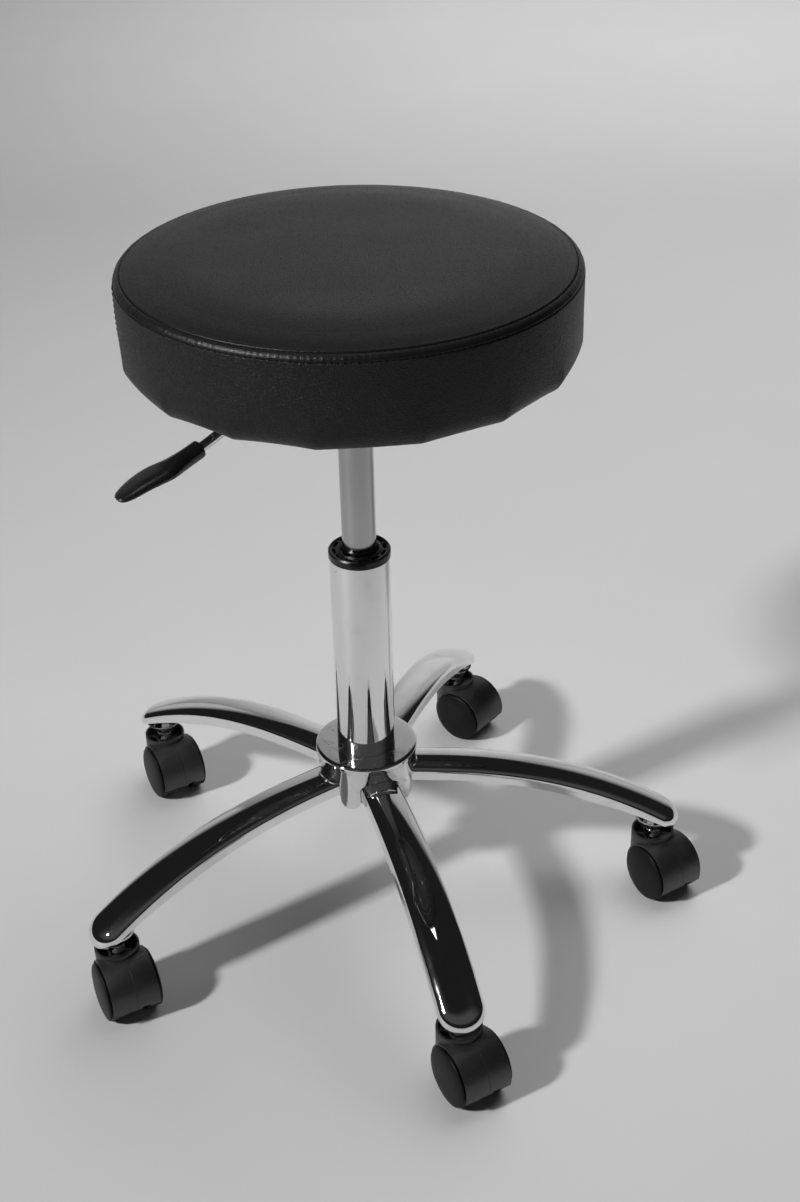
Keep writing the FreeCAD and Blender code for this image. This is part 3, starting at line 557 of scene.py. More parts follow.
def add_hub():
    rim = rounded([(HUB_BORE, HUB_TOP - 0.5), (HUB_BORE, HUB_TOP), (HUB_RIM, HUB_TOP),
                   (HUB_RIM, HUB_TOP - 5.8), (HUB_SKIRT, HUB_TOP - 6.4)], [0, 0.4, 3.2, 1.6, 0], 8)
    degrees = hub_columns()
    share = np.linspace(0, 1, 15)[1:, None]
    upper = rim[-1, 1]
    skirt_z = upper + (hub_edge(degrees)[None] - upper) * share
    r = np.vstack([np.broadcast_to(rim[:, :1], (len(rim), len(degrees))), np.full_like(skirt_z, HUB_SKIRT)])
    z = np.vstack([np.broadcast_to(rim[:, 1:], (len(rim), len(degrees))), skirt_z])
    a = np.radians(degrees)[None]
    points = np.stack([r * np.cos(a), r * np.sin(a), z], -1)
    faces = grid_faces(*points.shape[:2], wrap_columns=True)
    hub = mesh_piece("hub_cup", points, faces, CHROME_HUB, upward=True)
    solidify(hub, HUB_SHEET, 40)
    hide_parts("hub")
    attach(hub, "base")
    print("hub", len(hub.data.polygons), "faces")


add_hub()

# %% [markdown]
# ## Column, lift and the cone sockets under the arms
# These are lathe parts. Their half sections are the corners of the CAD sections, with small cuts
# at the corners for the broken edges of the real metal.

# %% Turned metal
def carry(piece, body, slot, *nodes):
    """Say which body moves a piece and which CAD nodes it stands for, and hide those nodes; the finish slot
    it is given is not used.
    """
    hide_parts(*nodes)
    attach(piece, body)
    return piece


TUBE_R, TUBE_TOP, TUBE_LOW = 25.0, 343.0, 106.0


def add_column():
    tube = turned_piece("column", [(4.05, TUBE_LOW), (TUBE_R - 1, TUBE_LOW), (TUBE_R, TUBE_LOW + 1),
                                   (TUBE_R, TUBE_TOP), (TUBE_R - 1.6, TUBE_TOP),
                                   (TUBE_R - 1.6, TUBE_LOW + 2.5),
                                   (4.05, TUBE_LOW + 2.5)], [0.3, 0.4, 0.4, 0.4, 0.3, 0.5, 0.3], CHROME, 144)
    carry(tube, "base", "chrome", "column_tube")
    cylinder = turned_piece("lift_cylinder", [(5.05, 283), (12.5, 283), (14, 284.5), (14, 465), (13, 494.5),
                                              (12.5, 495), (3.05, 495), (3.05, 487), (10.5, 487), (12.5, 485),
                                              (12.5, 291), (5.05, 291)], 0.5, SATIN, 128)
    carry(cylinder, "seat", "satin_steel", "gas_cylinder")
    rod = turned_piece("lift_rod", [(0, 101), (3.5, 101), (4, 101.5), (4, 102.8), (3.2, 102.8), (3.2, 104.4),
                                    (4, 104.4), (4, 116.55), (5, 116.55), (5, 324), (0, 324)],
                       [0, 0.2, 0.2, 0, 0, 0, 0, 0.2, 0.3, 0.4, 0], CHROME, 48)
    carry(rod, "spindle", "chrome", "piston_rod")


def add_cones():
    """The pressed cone under each arm's end, turned about the caster's stem."""
    outline = rounded([(5.55, 57.5), (7, 57.5), (8, 58.5), (16.4, 70), (14.4, 70), (7.5, 61.5), (6.8, 76.5),
                       (5.55, 76.5)], [0.2, 0.3, 0.8, 0.4, 0.4, 0.6, 0.3, 0.2])
    cone = turn(outline, 64) + np.array([254.0, 0, 0])
    ring = grid_faces(len(outline), 64, True, True)
    points = np.stack([spin(cone, ARM_STEP * k).reshape(-1, 3) for k in range(ARM_COUNT)])
    faces = np.concatenate([ring + k * points.shape[1] for k in range(ARM_COUNT)])
    carry(mesh_piece("stem_cones", points, faces, CHROME), "base", "chrome", "stem_sockets")


add_column()
add_cones()

# %% [markdown]
# ## Two small marks on the column
# Near the top of the column are two tiny raised pips, side by side, left by its maker's press.
# Each is a shallow dome laid on the tube.

# %% Column pips
def add_pips():
    """Domes: rings of shrinking radius, rising as one minus the square of the ring's share."""
    share = np.linspace(0, 1, 7)[:, None]
    around = np.linspace(0, 2 * np.pi, 20, endpoint=False)[None]
    flat = share * np.cos(around) * 1.15, share * np.sin(around) * 0.85
    points = []
    for azimuth, height in ((221.0, 334.0), (235.0, 333.6)):
        angle = math.radians(azimuth) + flat[0] / TUBE_R
        r = TUBE_R - 0.1 + 0.45 * (1 - share ** 2) + 0 * around
        points.append(np.stack([r * np.cos(angle), r * np.sin(angle), height + flat[1]], -1).reshape(-1, 3))
    ring = grid_faces(7, 20, wrap_columns=True)
    piece = mesh_piece("column_pips", np.stack(points), np.concatenate([ring, ring + len(points[0])]), CHROME)
    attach(piece, "base")


add_pips()

# %% [markdown]
# ## Pieces that keep their CAD shape
# Caps, plates and screws already have the right shape. A CAD mesh is loose triangles, so a copy is
# welded and shaded smooth with breaks at its real edges, and the copy is shown instead. The hood
# copy also stores how far each point lies across the caster, which places its mould line.

# %% Welded copies
def welded_copy(name, node, finish, body, slot, bevel=0.0, angle=32.0):
    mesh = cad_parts[node].data.copy()
    mesh.name = name
    work = bmesh.new()
    work.from_mesh(mesh)
    bmesh.ops.remove_doubles(work, verts=work.verts, dist=1e-5)
    bmesh.ops.dissolve_limit(work, angle_limit=math.radians(1.0), verts=work.verts, edges=work.edges)
    work.to_mesh(mesh)
    work.free()
    mesh.materials.clear()
    mesh.materials.append(finish)
    crease(mesh, angle)
    piece = add_object(name, mesh)
    if bevel:
        edge = piece.modifiers.new("broken edges", "BEVEL")
        edge.width = bevel * MM
        edge.segments = 2
        edge.limit_method = "ANGLE"
        edge.angle_limit = math.radians(35)
        bake_modifiers(piece, angle)
    return carry(piece, body, slot, node)


welded_copy("column_cap", "tube_cap", CAP_PLASTIC, "base", "black_plastic")
welded_copy("seat_bracket", "seat_plate", PAINT, "seat", "black_paint", 0.4)
welded_copy("bracket_channel", "lever_channel", PAINT, "seat", "black_paint", 0.3)
welded_copy("bracket_cone", "cone_socket", PAINT, "seat", "black_paint")
welded_copy("lever_pin", "lever_pivot_pin", ZINC, "seat", "bare_steel")
welded_copy("bracket_screws", "plate_screws", ZINC, "seat", "bare_steel")
print("welded copies done")

# %% [markdown]
# ## Release lever
# The lever is a chromed round bar that bends down to a moulded grip. The bar is a circle carried
# along its line. The grip starts as a round sleeve and flattens into a paddle: its section is an
# ellipse whose width, thickness and offset change along it, cut almost flat above by a plane.

# %% Lever
LEVER_AZIMUTH, LEVER_Z, LEVER_R = 223.3, 503.0, 3.9
BEND_AT, DROP, BEND_R, ROD_END, ROD_START = 103.6, math.radians(17.5), 30.0, 166.0, -4.5
GRIP_START, SECTION_TILT = 147.0, math.radians(15)
RIDGE_SHARE, PLANE_SLOPE, PLANE_CLEARANCE, SHARPNESS = 0.4, 0.07, 8.0, 2.5


def lever_line():
    """Straight out, an arc down, and straight along the slope; gives places and headings."""
    run = BEND_R * math.tan(DROP / 2)
    turn_angle = np.linspace(0, DROP, 17)
    level = np.linspace(ROD_START, BEND_AT - run, 30)[:-1]
    arc = np.stack([BEND_AT - run + BEND_R * np.sin(turn_angle),
                    LEVER_Z - BEND_R * (1 - np.cos(turn_angle))], -1)
    length = (ROD_END - BEND_AT) / math.cos(DROP) - run
    out = np.linspace(0, length, 20)[1:, None]
    straight = arc[-1] + out * np.array([math.cos(DROP), -math.sin(DROP)])
    line = np.vstack([np.stack([level, 0 * level + LEVER_Z], -1), arc, straight])
    heading = np.concatenate([0 * level, turn_angle, np.full(len(out), DROP)])
    return line, heading


def add_lever_rod():
    """Rings square to the line; the first and last shrink to a rounded end."""
    line, heading = lever_line()
    cap = np.linspace(0, np.pi / 2, 5)[:-1]
    radius = np.concatenate([[0], LEVER_R - 0.5 + 0.5 * np.sin(cap), np.full(len(line) - 10, LEVER_R),
                             LEVER_R - 0.5 + 0.5 * np.cos(cap), [0]])
    around = np.linspace(0, 2 * np.pi, 40, endpoint=False)[None]
    r, h = radius[:, None], heading[:, None]
    x = line[:, :1] + r * np.sin(around) * np.sin(h)
    z = line[:, 1:] + r * np.sin(around) * np.cos(h)
    points = spin(np.stack([x, r * np.cos(around), z], -1), LEVER_AZIMUTH)
    rod = mesh_piece("lever_bar", points, grid_faces(len(line), 40, wrap_columns=True), CHROME)
    carry(rod, "lever", "chrome", "lever_rod")


def add_grip():
    """Ellipse sections blended between stations; on the paddle a tilted plane, rising towards a
    ridge, cuts the top flat. A mouth round the bar and a round tip close the ends."""
    stations = np.array([
        # along, height, half width, half thickness, shift aside, how much the plane cuts
        (0.0, 0.0, 6.2, 6.2, 0, 0), (0.35, -0.1, 6.7, 6.7, 0, 0), (1.2, -0.3, 6.9, 6.9, 0, 0),
        (8, -2.2, 6.95, 6.95, 0, 0), (14, -3.9, 7.3, 6.9, -0.2, 0), (20, -5.3, 8.4, 6.7, -0.3, 0.35),
        (26, -6.5, 9.9, 6.3, -0.2, 0.8), (32, -7.4, 11.7, 5.8, -0.8, 1), (38, -8.4, 12.3, 5.3, -1.9, 1),
        (45, -9.8, 11.9, 4.9, -2.8, 1), (53, -11.3, 10.9, 4.6, -2.8, 1), (60, -12.7, 10.0, 4.2, -2.2, 1),
        (66, -13.7, 8.6, 3.6, -1.4, 1), (70, -14.3, 6.9, 2.9, -0.7, 1), (72, -14.5, 5.3, 2.3, -0.3, 1),
        (73.1, -14.6, 3.2, 1.5, 0, 1), (73.5, -14.6, 0, 0, 0, 1)])
    knots = np.arange(len(stations))
    fine = np.linspace(0, len(stations) - 1, 129)
    along, height, half_w, half_t, aside, cut = (np.interp(fine, knots, c) for c in stations.T)
    weight = np.array([1, 4, 6, 4, 1]) / 16
    body = slice(20, 98)
    for values in (along, height, half_w, half_t, aside, cut):
        for _ in range(7):
            values[body] = np.convolve(values, weight, "same")[body]
    mouth_r = np.array([LEVER_R + 0.06, LEVER_R + 0.06, 5.6, 6.5])
    mouth_in = np.array([9.0, 2.2, 0.35, 0.0])
    around = np.linspace(0, 2 * np.pi, 64, endpoint=False)[None]
    h, up = SECTION_TILT, np.sin(around)
    across = half_w[:, None] * np.cos(around) + aside[:, None]
    ridge = (aside + RIDGE_SHARE * half_w)[:, None]
    plane = (half_t[:, None] * math.sqrt(1 - RIDGE_SHARE ** 2) + PLANE_SLOPE * (across - ridge)
             + PLANE_CLEARANCE * (1 - cut[:, None]))
    # the lower of ellipse and plane, blended over about half a millimetre
    section_z = -np.logaddexp(-SHARPNESS * half_t[:, None] * up, -SHARPNESS * plane) / SHARPNESS
    section_z = np.where(half_t[:, None] > 0, section_z, 0)
    x = along[:, None] + section_z * math.sin(h)
    z = height[:, None] + section_z * math.cos(h)
    skin = np.stack([x, across, z], -1)
    mouth = np.stack([mouth_in[:, None] * math.cos(DROP) + mouth_r[:, None] * up * math.sin(h),
                      mouth_r[:, None] * np.cos(around) + 0 * up,
                      -mouth_in[:, None] * math.sin(DROP) + mouth_r[:, None] * up * math.cos(h)], -1)
    points = np.concatenate([mouth, skin]) + np.array(
        [GRIP_START, 0, LEVER_Z - (GRIP_START - BEND_AT) * math.tan(DROP)])
    grip = mesh_piece("lever_handle", spin(points, LEVER_AZIMUTH),
                      grid_faces(len(points), 64, wrap_columns=True), GRIP_PLASTIC, 55)
    carry(grip, "lever", "grip_plastic", "lever_grip")


add_lever_rod()
add_grip()
print("lever done")

# %% [markdown]
# ## Casters
# Each caster has a hood over two wheels, a stem that turns in the arm's socket and an axle. The
# wheel is a lathe part about the axle: a hollow back, a tread, a groove and a domed cover. A caster
# is modelled with its stem on Z and its axle on X, turned about the stem and carried to its arm.

# %% Casters
REACH, OFFSET, WHEEL_R, WHEEL_RIM, WHEEL_DOME, WHEEL_INNER = 254.0, 17.9, 25.0, 21.8, 25.3, 8.3
AXLE_AZIMUTHS = (32.5, 52.2, 29.7, 27.2, 31.1)


def place(points, k):
    reach = math.radians(ARM_STEP * k)
    return spin(points, AXLE_AZIMUTHS[k]) + np.array([REACH * math.cos(reach), REACH * math.sin(reach), 0])


def wheel_points(side):
    """Half section (along the axle, radius) carried round the axle; the cover bulges by the square
    root of one minus the radius' share to the power 2.4, so its face is soft and its edge round."""
    rim, edge = WHEEL_RIM, WHEEL_R - 0.3
    lean = np.linspace(0, np.pi / 2, 26)
    share = np.cos(lean) ** (2 / 2.4)
    dome = np.stack([rim + (WHEEL_DOME - rim) * np.sin(lean), edge * share], -1)
    back = rounded([(18, 0), (18, 3.05), (WHEEL_INNER, 3.05), (WHEEL_INNER, 7), (15, 8), (15, 20.5),
                    (WHEEL_INNER + 1, 21.5), (WHEEL_INNER + 1, WHEEL_R), (rim - 2.6, WHEEL_R),
                    (rim - 2.2, WHEEL_R - 1), (rim - 1, WHEEL_R - 1), (rim - 0.8, edge)],
                   [0, 0.2, 0.3, 0.5, 1.0, 1.0, 0.4, 0.6, 0.2, 0.1, 0.1, 0])
    section = np.vstack([back, dome])
    around = np.linspace(0, 2 * np.pi, 96, endpoint=False)
    along, radius = section[:, :1], section[:, 1:]
    return np.stack([side * along + 0 * around, radius * np.cos(around) - OFFSET,
                     radius * np.sin(around) + WHEEL_R], -1)


def mark_across(piece, k):
    """Store, for each point, how far it lies along the axle from the stem, in millimetres."""
    angle, reach = math.radians(AXLE_AZIMUTHS[k]), math.radians(ARM_STEP * k)
    co = np.zeros(len(piece.data.vertices) * 3)
    piece.data.vertices.foreach_get("co", co)
    offset = co.reshape(-1, 3) / MM - np.array([REACH * math.cos(reach), REACH * math.sin(reach), 0])
    across = offset @ np.array([math.cos(angle), math.sin(angle), 0])
    piece.data.attributes.new("across", "FLOAT", "POINT").data.foreach_set("value", across)


def add_casters():
    stem = rounded([(0, 28), (5.5, 28), (5.5, 47), (7.1, 47), (7.1, 56.7), (6.7, 57.1), (5.5, 57.1),
                    (5.5, 72), (4.9, 73), (4.9, 75), (5.5, 76), (4.5, 78), (0, 78)],
                   [0, 0.6, 0.3, 0.4, 0.3, 0.2, 0.2, 0.3, 0.3, 0.3, 0.4, 0.4, 0])
    stem_points, stem_faces = turn(stem, 48), grid_faces(len(stem), 48, True, True)
    for k in range(ARM_COUNT):
        n = k + 1
        for side, letter in ((-1, "a"), (1, "b")):
            points = place(wheel_points(side), k)
            wheel = mesh_piece(f"caster_wheel_{n}{letter}", points,
                               grid_faces(*points.shape[:2], wrap_columns=True), WHEEL_PLASTIC, 38)
            carry(wheel, f"wheel_{n}{letter}", "wheel_plastic", f"caster_{n}_wheel_{letter}")
        hood = welded_copy(f"caster_hood_{n}", f"caster_{n}_hood", HOOD_PLASTIC, f"caster_{n}",
                           "caster_plastic", 0.3)
        mark_across(hood, k)
        piece = mesh_piece(f"caster_pin_{n}", place(stem_points, k), stem_faces, CHROME)
        carry(piece, f"caster_{n}", "bare_steel", f"caster_{n}_stem")
    print("casters done, hood faces", len(hood.data.polygons))


add_casters()

# %% [markdown]
# ## Seat cushion
# The seat is a foam disc on a plywood board in a sewn vinyl cover: a top panel and a side strip
# that is pulled under the board and stapled. A profile walked from the top centre to the underside
# and carried round Z gives the form. Where the cover is gathered under the board it pulls the
# lower edge in, so that edge is a ring of soft bulges. A cloth simulation with air pressure inside
# then swells the panels between the lines where the cover is held.

# %% Seat profile
SEAT_R, SEAT_TOP, SEAT_UNDER, SEAT_FLAT, CROWN_POWER = 174.5, 598.8, 517.8, 122.0, 4.6
UPPER_ROW, LOWER_ROW = (169.3, 593.6), (174.5, 588.0)
CORNER_R, CLOTH_R = 17.0, 118.6
BULGES = np.array([17, 40, 62, 85, 108, 130, 153, 176, 199, 222.6, 243, 263.9, 289.3, 311.4, 333.3, 355.5])


def seat_line():
    """(radius, height) every tenth of a millimetre from top centre to underside centre, and the
    lengths along it at which the rows of stitches and the corner lie."""
    top = np.linspace(0, SEAT_FLAT, 60)[:, None] * [1, 0] + [0, SEAT_TOP]
    out = np.linspace(0, 1, 120)[1:]
    crown = np.stack([SEAT_FLAT + (UPPER_ROW[0] - SEAT_FLAT) * out,
                      SEAT_TOP - (SEAT_TOP - UPPER_ROW[1]) * out ** CROWN_POWER], -1)
    turn_in = np.linspace(0, np.pi / 2, 24)[1:]
    share = turn_in[:, None] / turn_in[-1]
    band = UPPER_ROW + (np.array(LOWER_ROW) - UPPER_ROW) * share + 0.9 * np.sin(np.pi * share) * [0.75, 0.66]
    side = np.array([[SEAT_R, SEAT_UNDER + CORNER_R]])
    centre = np.array([SEAT_R - CORNER_R, SEAT_UNDER + CORNER_R])
    corner = centre + CORNER_R * np.stack([np.cos(turn_in), -np.sin(turn_in)], -1)
    under = np.array([[CLOTH_R, SEAT_UNDER], [CLOTH_R - 1.5, SEAT_UNDER + 1.6], [0, SEAT_UNDER + 1.6]])
    line = np.vstack([top, crown, band, side, corner, under])
    length = np.concatenate([[0], np.cumsum(np.hypot(*np.diff(line, axis=0).T))])
    marks = {"upper": length[len(top) + len(crown) - 1],
             "lower": length[len(top) + len(crown) + len(band) - 1],
             "corner": length[len(line) - 4 - len(turn_in) // 2], "hem": length[-3], "end": length[-1]}
    return line, length, marks


LINE, LENGTH, MARKS = seat_line()
print({name: round(value, 1) for name, value in MARKS.items()})


def gather(theta):
    """About zero on a bulge and one half way between two: four times share times one minus share,
    as a chord drawn across a circle, with the point at each bulge rounded off."""
    edges = np.concatenate([BULGES - 360, BULGES, BULGES + 360])
    degrees = np.degrees(theta) % 360
    k = np.searchsorted(edges, degrees, side="right") - 1
    share = (degrees - edges[k]) / (edges[k + 1] - edges[k])
    depth = 0.85 + 0.3 * np.sin(edges[k] * 0.37)
    chord = 4 * share * (1 - share)
    near = np.minimum(share, 1 - share) * (edges[k + 1] - edges[k]) / 3.0
    return (chord - 0.12 * np.exp(-near ** 2)) * depth


def seat_points(theta, s, pull=2.7):
    """Profile point at length s, turned to angle theta, with the lower edge pulled in and up."""
    r, z = np.interp(s, LENGTH, LINE[:, 0]), np.interp(s, LENGTH, LINE[:, 1])
    away = (s - MARKS["corner"]) / np.where(s < MARKS["corner"], 21.0, 17.0)
    share = np.exp(-away ** 2)[:, None] * gather(theta)[None] * pull
    r, z = r[:, None] - share * 0.95, z[:, None] + share * 0.22
    return np.stack([r * np.cos(theta), r * np.sin(theta), z], -1)


# %% [markdown]
# ## Letting the cover swell
# The simulation runs on a coarse copy, even spaced at about five millimetres, with the seam, the
# gathers and the underside held. What it gives is read back as a displacement over the same two
# parameters, capped, smoothed round the seat and laid on the fine grid. The cap is small, so the
# top only rises evenly. The seam keeps its place and no modifier is left on the piece.

# %% Cloth simulation
SWELL_CAP = 1.6
COARSE_THETA = np.linspace(0, 2 * np.pi, 216, endpoint=False)
FRAMES, PRESSURE = 20, 4.0


def held_share(theta, s):
    """How firmly each coarse point is held: seam, gathers and underside fully, panels not at all."""
    seam = np.exp(-((s - (MARKS["upper"] + MARKS["lower"]) / 2) / 6.0) ** 2)[:, None]
    pinch = np.exp(-((s - MARKS["corner"] - 4) / 12.0) ** 2)[:, None]
    pinch = pinch * smoothstep(0.45, 0.95, gather(theta))[None]
    under = smoothstep(MARKS["corner"] + 12, MARKS["corner"] + 22, s)[:, None]
    return np.clip(np.maximum(np.maximum(seam, pinch), under + 0 * pinch), 0, 1)


def swell(theta, s):
    """Displacement of the cover under air pressure, on the coarse grid, in millimetres."""
    rest = seat_points(theta, s)
    mesh = bpy.data.meshes.new("cover_trial")
    faces = grid_faces(*rest.shape[:2], wrap_columns=True)
    mesh.from_pydata((rest.reshape(-1, 3) * MM).tolist(), [], faces.tolist())
    trial = add_object("cover_trial", mesh)
    group = trial.vertex_groups.new(name="held")
    held = np.round(held_share(theta, s).ravel(), 2)
    for level in np.unique(held[held > 0]):
        group.add(np.flatnonzero(held == level).tolist(), float(level), "REPLACE")
    cloth = trial.modifiers.new("cloth", "CLOTH")
    settings = cloth.settings
    settings.quality = 6
    settings.mass = 0.25
    settings.tension_stiffness = settings.compression_stiffness = 20
    settings.shear_stiffness = 12
    settings.bending_stiffness = 2.0
    settings.vertex_group_mass = "held"
    settings.use_pressure = True
    settings.uniform_pressure_force = -PRESSURE if mesh.polygons[0].normal.z < 0 else PRESSURE
    settings.effector_weights.gravity = 0.0
    cloth.point_cache.frame_start, cloth.point_cache.frame_end = 1, FRAMES
    for number in range(1, FRAMES + 1):
        bpy.context.scene.frame_set(number)
    shown = trial.evaluated_get(bpy.context.evaluated_depsgraph_get())
    co = np.zeros(len(shown.data.vertices) * 3)
    shown.data.vertices.foreach_get("co", co)
    bpy.data.objects.remove(trial)
    bpy.context.scene.frame_set(1)
    moved = co.reshape(rest.shape) / MM - rest
    size = np.linalg.norm(moved, axis=-1, keepdims=True)
    moved = moved * SWELL_CAP * np.tanh(size / SWELL_CAP) / np.maximum(size, 1e-9)
    print("capped moves, mean by row", np.round(np.linalg.norm(moved, axis=-1).mean(1)[::6], 2).tolist())
    return taut(moved, s)


def taut(moved, s):
    """The move in waves round the seat: a taut top keeps only the longest, the side also short ones."""
    radial = np.stack([np.cos(COARSE_THETA), np.sin(COARSE_THETA)], -1)
    outward = (moved[..., :2] * radial).sum(-1)
    waves = np.fft.rfft(np.stack([outward, moved[..., 2]], -1), axis=1)
    order = np.arange(waves.shape[1])[None, :, None]
    finest = (2.0 + 38.0 * smoothstep(MARKS["lower"] - 2, MARKS["lower"] + 12, s))[:, None, None]
    kept = np.fft.irfft(waves * np.exp(-(order / finest) ** 2), len(COARSE_THETA), 1)
    outward, lift = np.moveaxis(kept, -1, 0)
    return np.concatenate([outward[..., None] * radial, lift[..., None]], -1)


COARSE_S = np.linspace(4, MARKS["hem"] - 2, 66)
moved = swell(COARSE_THETA, COARSE_S)
print("swell, largest move", round(float(np.linalg.norm(moved, axis=-1).max()), 2), "mm")

# %% [markdown]
# ## The finished cover
# The fine grid has close rows at the seam. Both rows of stitches sink into the vinyl, the folded
# seam between them stands a little proud, and fine puckers run across it where the thread is
# tight. The band takes the top panel's grain, and the side below it has its own.

# %% Seat cover
STITCHES, COLUMNS = 238, 952
THETA = np.linspace(0, 2 * np.pi, COLUMNS, endpoint=False)
SIDE_SEAM = math.radians(187.5)


def seat_rows():
    m = MARKS
    return np.concatenate([
        np.linspace(0, m["upper"] - 30, 12), np.linspace(m["upper"] - 27, m["upper"] - 2.4, 16),
        np.linspace(m["upper"] - 1.9, m["lower"] + 1.9, 28), np.linspace(m["lower"] + 2.5, m["lower"] + 5, 4),
        np.linspace(m["lower"] + 7, m["corner"] - 14, 11),
        np.linspace(m["corner"] - 12, m["corner"] + 16, 16),
        np.linspace(m["corner"] + 20, m["hem"], 8), [m["hem"] + 2.2, m["end"] - 60, m["end"]]])


def spread(values, theta, s):
    """Read a coarse field at the fine grid's places, straight between its samples both ways."""
    wrapped = np.concatenate([values, values[:, :1]], 1)
    coarse_theta = np.append(COARSE_THETA, 2 * np.pi)
    across = np.stack([[np.interp(theta, coarse_theta, row[:, c]) for row in wrapped] for c in range(3)], -1)
    low = np.clip(np.searchsorted(COARSE_S, s) - 1, 0, len(COARSE_S) - 2)
    share = np.clip((s - COARSE_S[low]) / (COARSE_S[low + 1] - COARSE_S[low]), 0, 1)
    share = (share * share * (3 - 2 * share))[:, None, None]
    fade = smoothstep(MARKS["hem"] + 2, MARKS["hem"] - 10, s)[:, None, None]
    return (across[low] * (1 - share) + across[low + 1] * share) * fade


def seam_relief(theta, s):
    """Height over the smooth cover: two sunk rows, a raised band and short puckers across it."""
    up, low = MARKS["upper"], MARKS["lower"]
    middle = (up + low) / 2
    rows = -0.85 * (np.exp(-((s - up) / 0.55) ** 2) + np.exp(-((s - low) / 0.55) ** 2))
    band = 0.25 * np.exp(-((s - middle) / 2.6) ** 4)
    waves = (np.sin(97 * theta + 1.3) + np.sin(61 * theta + 0.4) * 0.8 + np.sin(143 * theta + 2.1) * 0.6
             + np.sin(31 * theta) * 0.7) * 0.05
    strength = 0.65 + 0.25 * np.sin(3 * theta + 0.6) + 0.25 * np.sin(29 * theta)
    pinch = -0.13 * (1 + np.cos(STITCHES * theta + 0.5 * np.sin(19 * theta))) * strength
    near = np.exp(-((s - middle) / 5.5) ** 2)
    upright = np.exp(-(((theta - SIDE_SEAM) * SEAT_R) / 1.1) ** 2)[None]
    upright = upright * smoothstep(low - 1, low + 4, s)[:, None]
    return (rows + band)[:, None] + near[:, None] * (waves + pinch)[None] - 0.8 * upright


def seat_normal(points):
    """Cross product of the differences along and round the grid, pointing outwards."""
    round_way = np.roll(points, -1, 1) - np.roll(points, 1, 1)
    down = np.gradient(points, axis=0)
    normal = np.cross(down, round_way)
    return normal / np.maximum(np.linalg.norm(normal, axis=-1, keepdims=True), 1e-9)


def cover_points(theta, s):
    points = seat_points(theta, s) + spread(moved, theta, s)
    return points + seat_normal(points) * seam_relief(theta, s)[..., None]


def add_cover():
    s = seat_rows()
    points = cover_points(THETA, s)
    faces = grid_faces(len(s), COLUMNS, wrap_columns=True)
    cover = mesh_piece("seat_cushion", points, faces, VINYL_TOP, 60)
    cover.data.materials.append(VINYL_SIDE)
    centres = np.zeros(len(cover.data.polygons) * 3)
    cover.data.polygons.foreach_get("center", centres)
    side = centres[2::3] / MM < LOWER_ROW[1] + 0.1
    cover.data.polygons.foreach_set("material_index", side.astype(np.int32))
    carry(cover, "seat", "vinyl", "seat_foam", "cover_top", "cover_side")
    print("cushion", len(cover.data.polygons), "faces")


add_cover()

# %% [markdown]
# ## Stitches
# Each stitch is a short length of thread that arches out of one hole and into the next. All the
# stitches of a row are one array: a small capsule, bent, repeated at every stitch's frame, which
# comes from the cover's own surface. The upright seam at the side has the same stitch.

# %% Stitching
STITCH, THREAD_R = 4.6, 0.42


def stitch_row(centres, along, out):
    """Capsules: rings of radius r sqrt(1-a^4) about a line that rises as one minus a squared."""
    a = np.linspace(-1, 1, 8)[:, None]
    around = np.linspace(0, 2 * np.pi, 7, endpoint=False)[None]
    r = THREAD_R * np.sqrt(np.clip(1 - a ** 4, 0, 1))
    x = 0.38 * STITCH * a + 0 * around
    y = r * np.cos(around)
    z = r * np.sin(around) + 0.40 * (1 - a ** 2) + 0.05
    side = np.cross(out, along)
    return (centres[:, None, None] + x[None, ..., None] * along[:, None, None]
            + y[None, ..., None] * side[:, None, None] + z[None, ..., None] * out[:, None, None])


def unit(v):
    return v / np.linalg.norm(v, axis=-1, keepdims=True)


def ring_row(s0):
    """Stitch frames round the seat at profile length s0."""
    theta = (np.arange(STITCHES) + 0.5) * 2 * np.pi / STITCHES
    s = np.array([s0 - 0.7, s0, s0 + 0.7])
    points = cover_points(theta, s)
    along = unit(np.roll(points[1], -1, 0) - np.roll(points[1], 1, 0))
    out = unit(np.cross(points[2] - points[0], along))
    return stitch_row(points[1], along, out)


def upright_row(offset):
    """Stitch frames down the side at a fixed distance from the upright seam."""
    s = np.arange(MARKS["lower"] + 5, MARKS["corner"] - 6, STITCH)
    theta = SIDE_SEAM + (np.array([-0.8, 0, 0.8]) + offset) / SEAT_R
    points = np.stack([cover_points(theta, np.array([v - 1, v, v + 1])) for v in s])
    along = unit(points[:, 2, 1] - points[:, 0, 1])
    out = unit(np.cross(along, points[:, 1, 2] - points[:, 1, 0]))
    return stitch_row(points[:, 1, 1], along, out)


def add_stitches():
    rows = np.concatenate([ring_row(MARKS["upper"]), ring_row(MARKS["lower"]),
                           upright_row(3.0), upright_row(-3.0)])
    capsule = grid_faces(8, 7, wrap_columns=True)
    faces = capsule[None] + (np.arange(len(rows)) * 56)[:, None, None]
    piece = mesh_piece("seat_stitches", rows, faces.reshape(-1, 4), THREAD)
    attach(piece, "seat")
    print("stitches", len(rows))


add_stitches()

# %% [markdown]
# ## Underside: dust cloth and staples
# A thin black fleece closes the seat from below, and wire staples hold the cover's hem to the
# board. The fleece is a disc that ripples by a fraction of a millimetre. A staple's crown is a
# short bar with turned ends; its legs are in the board, out of sight.

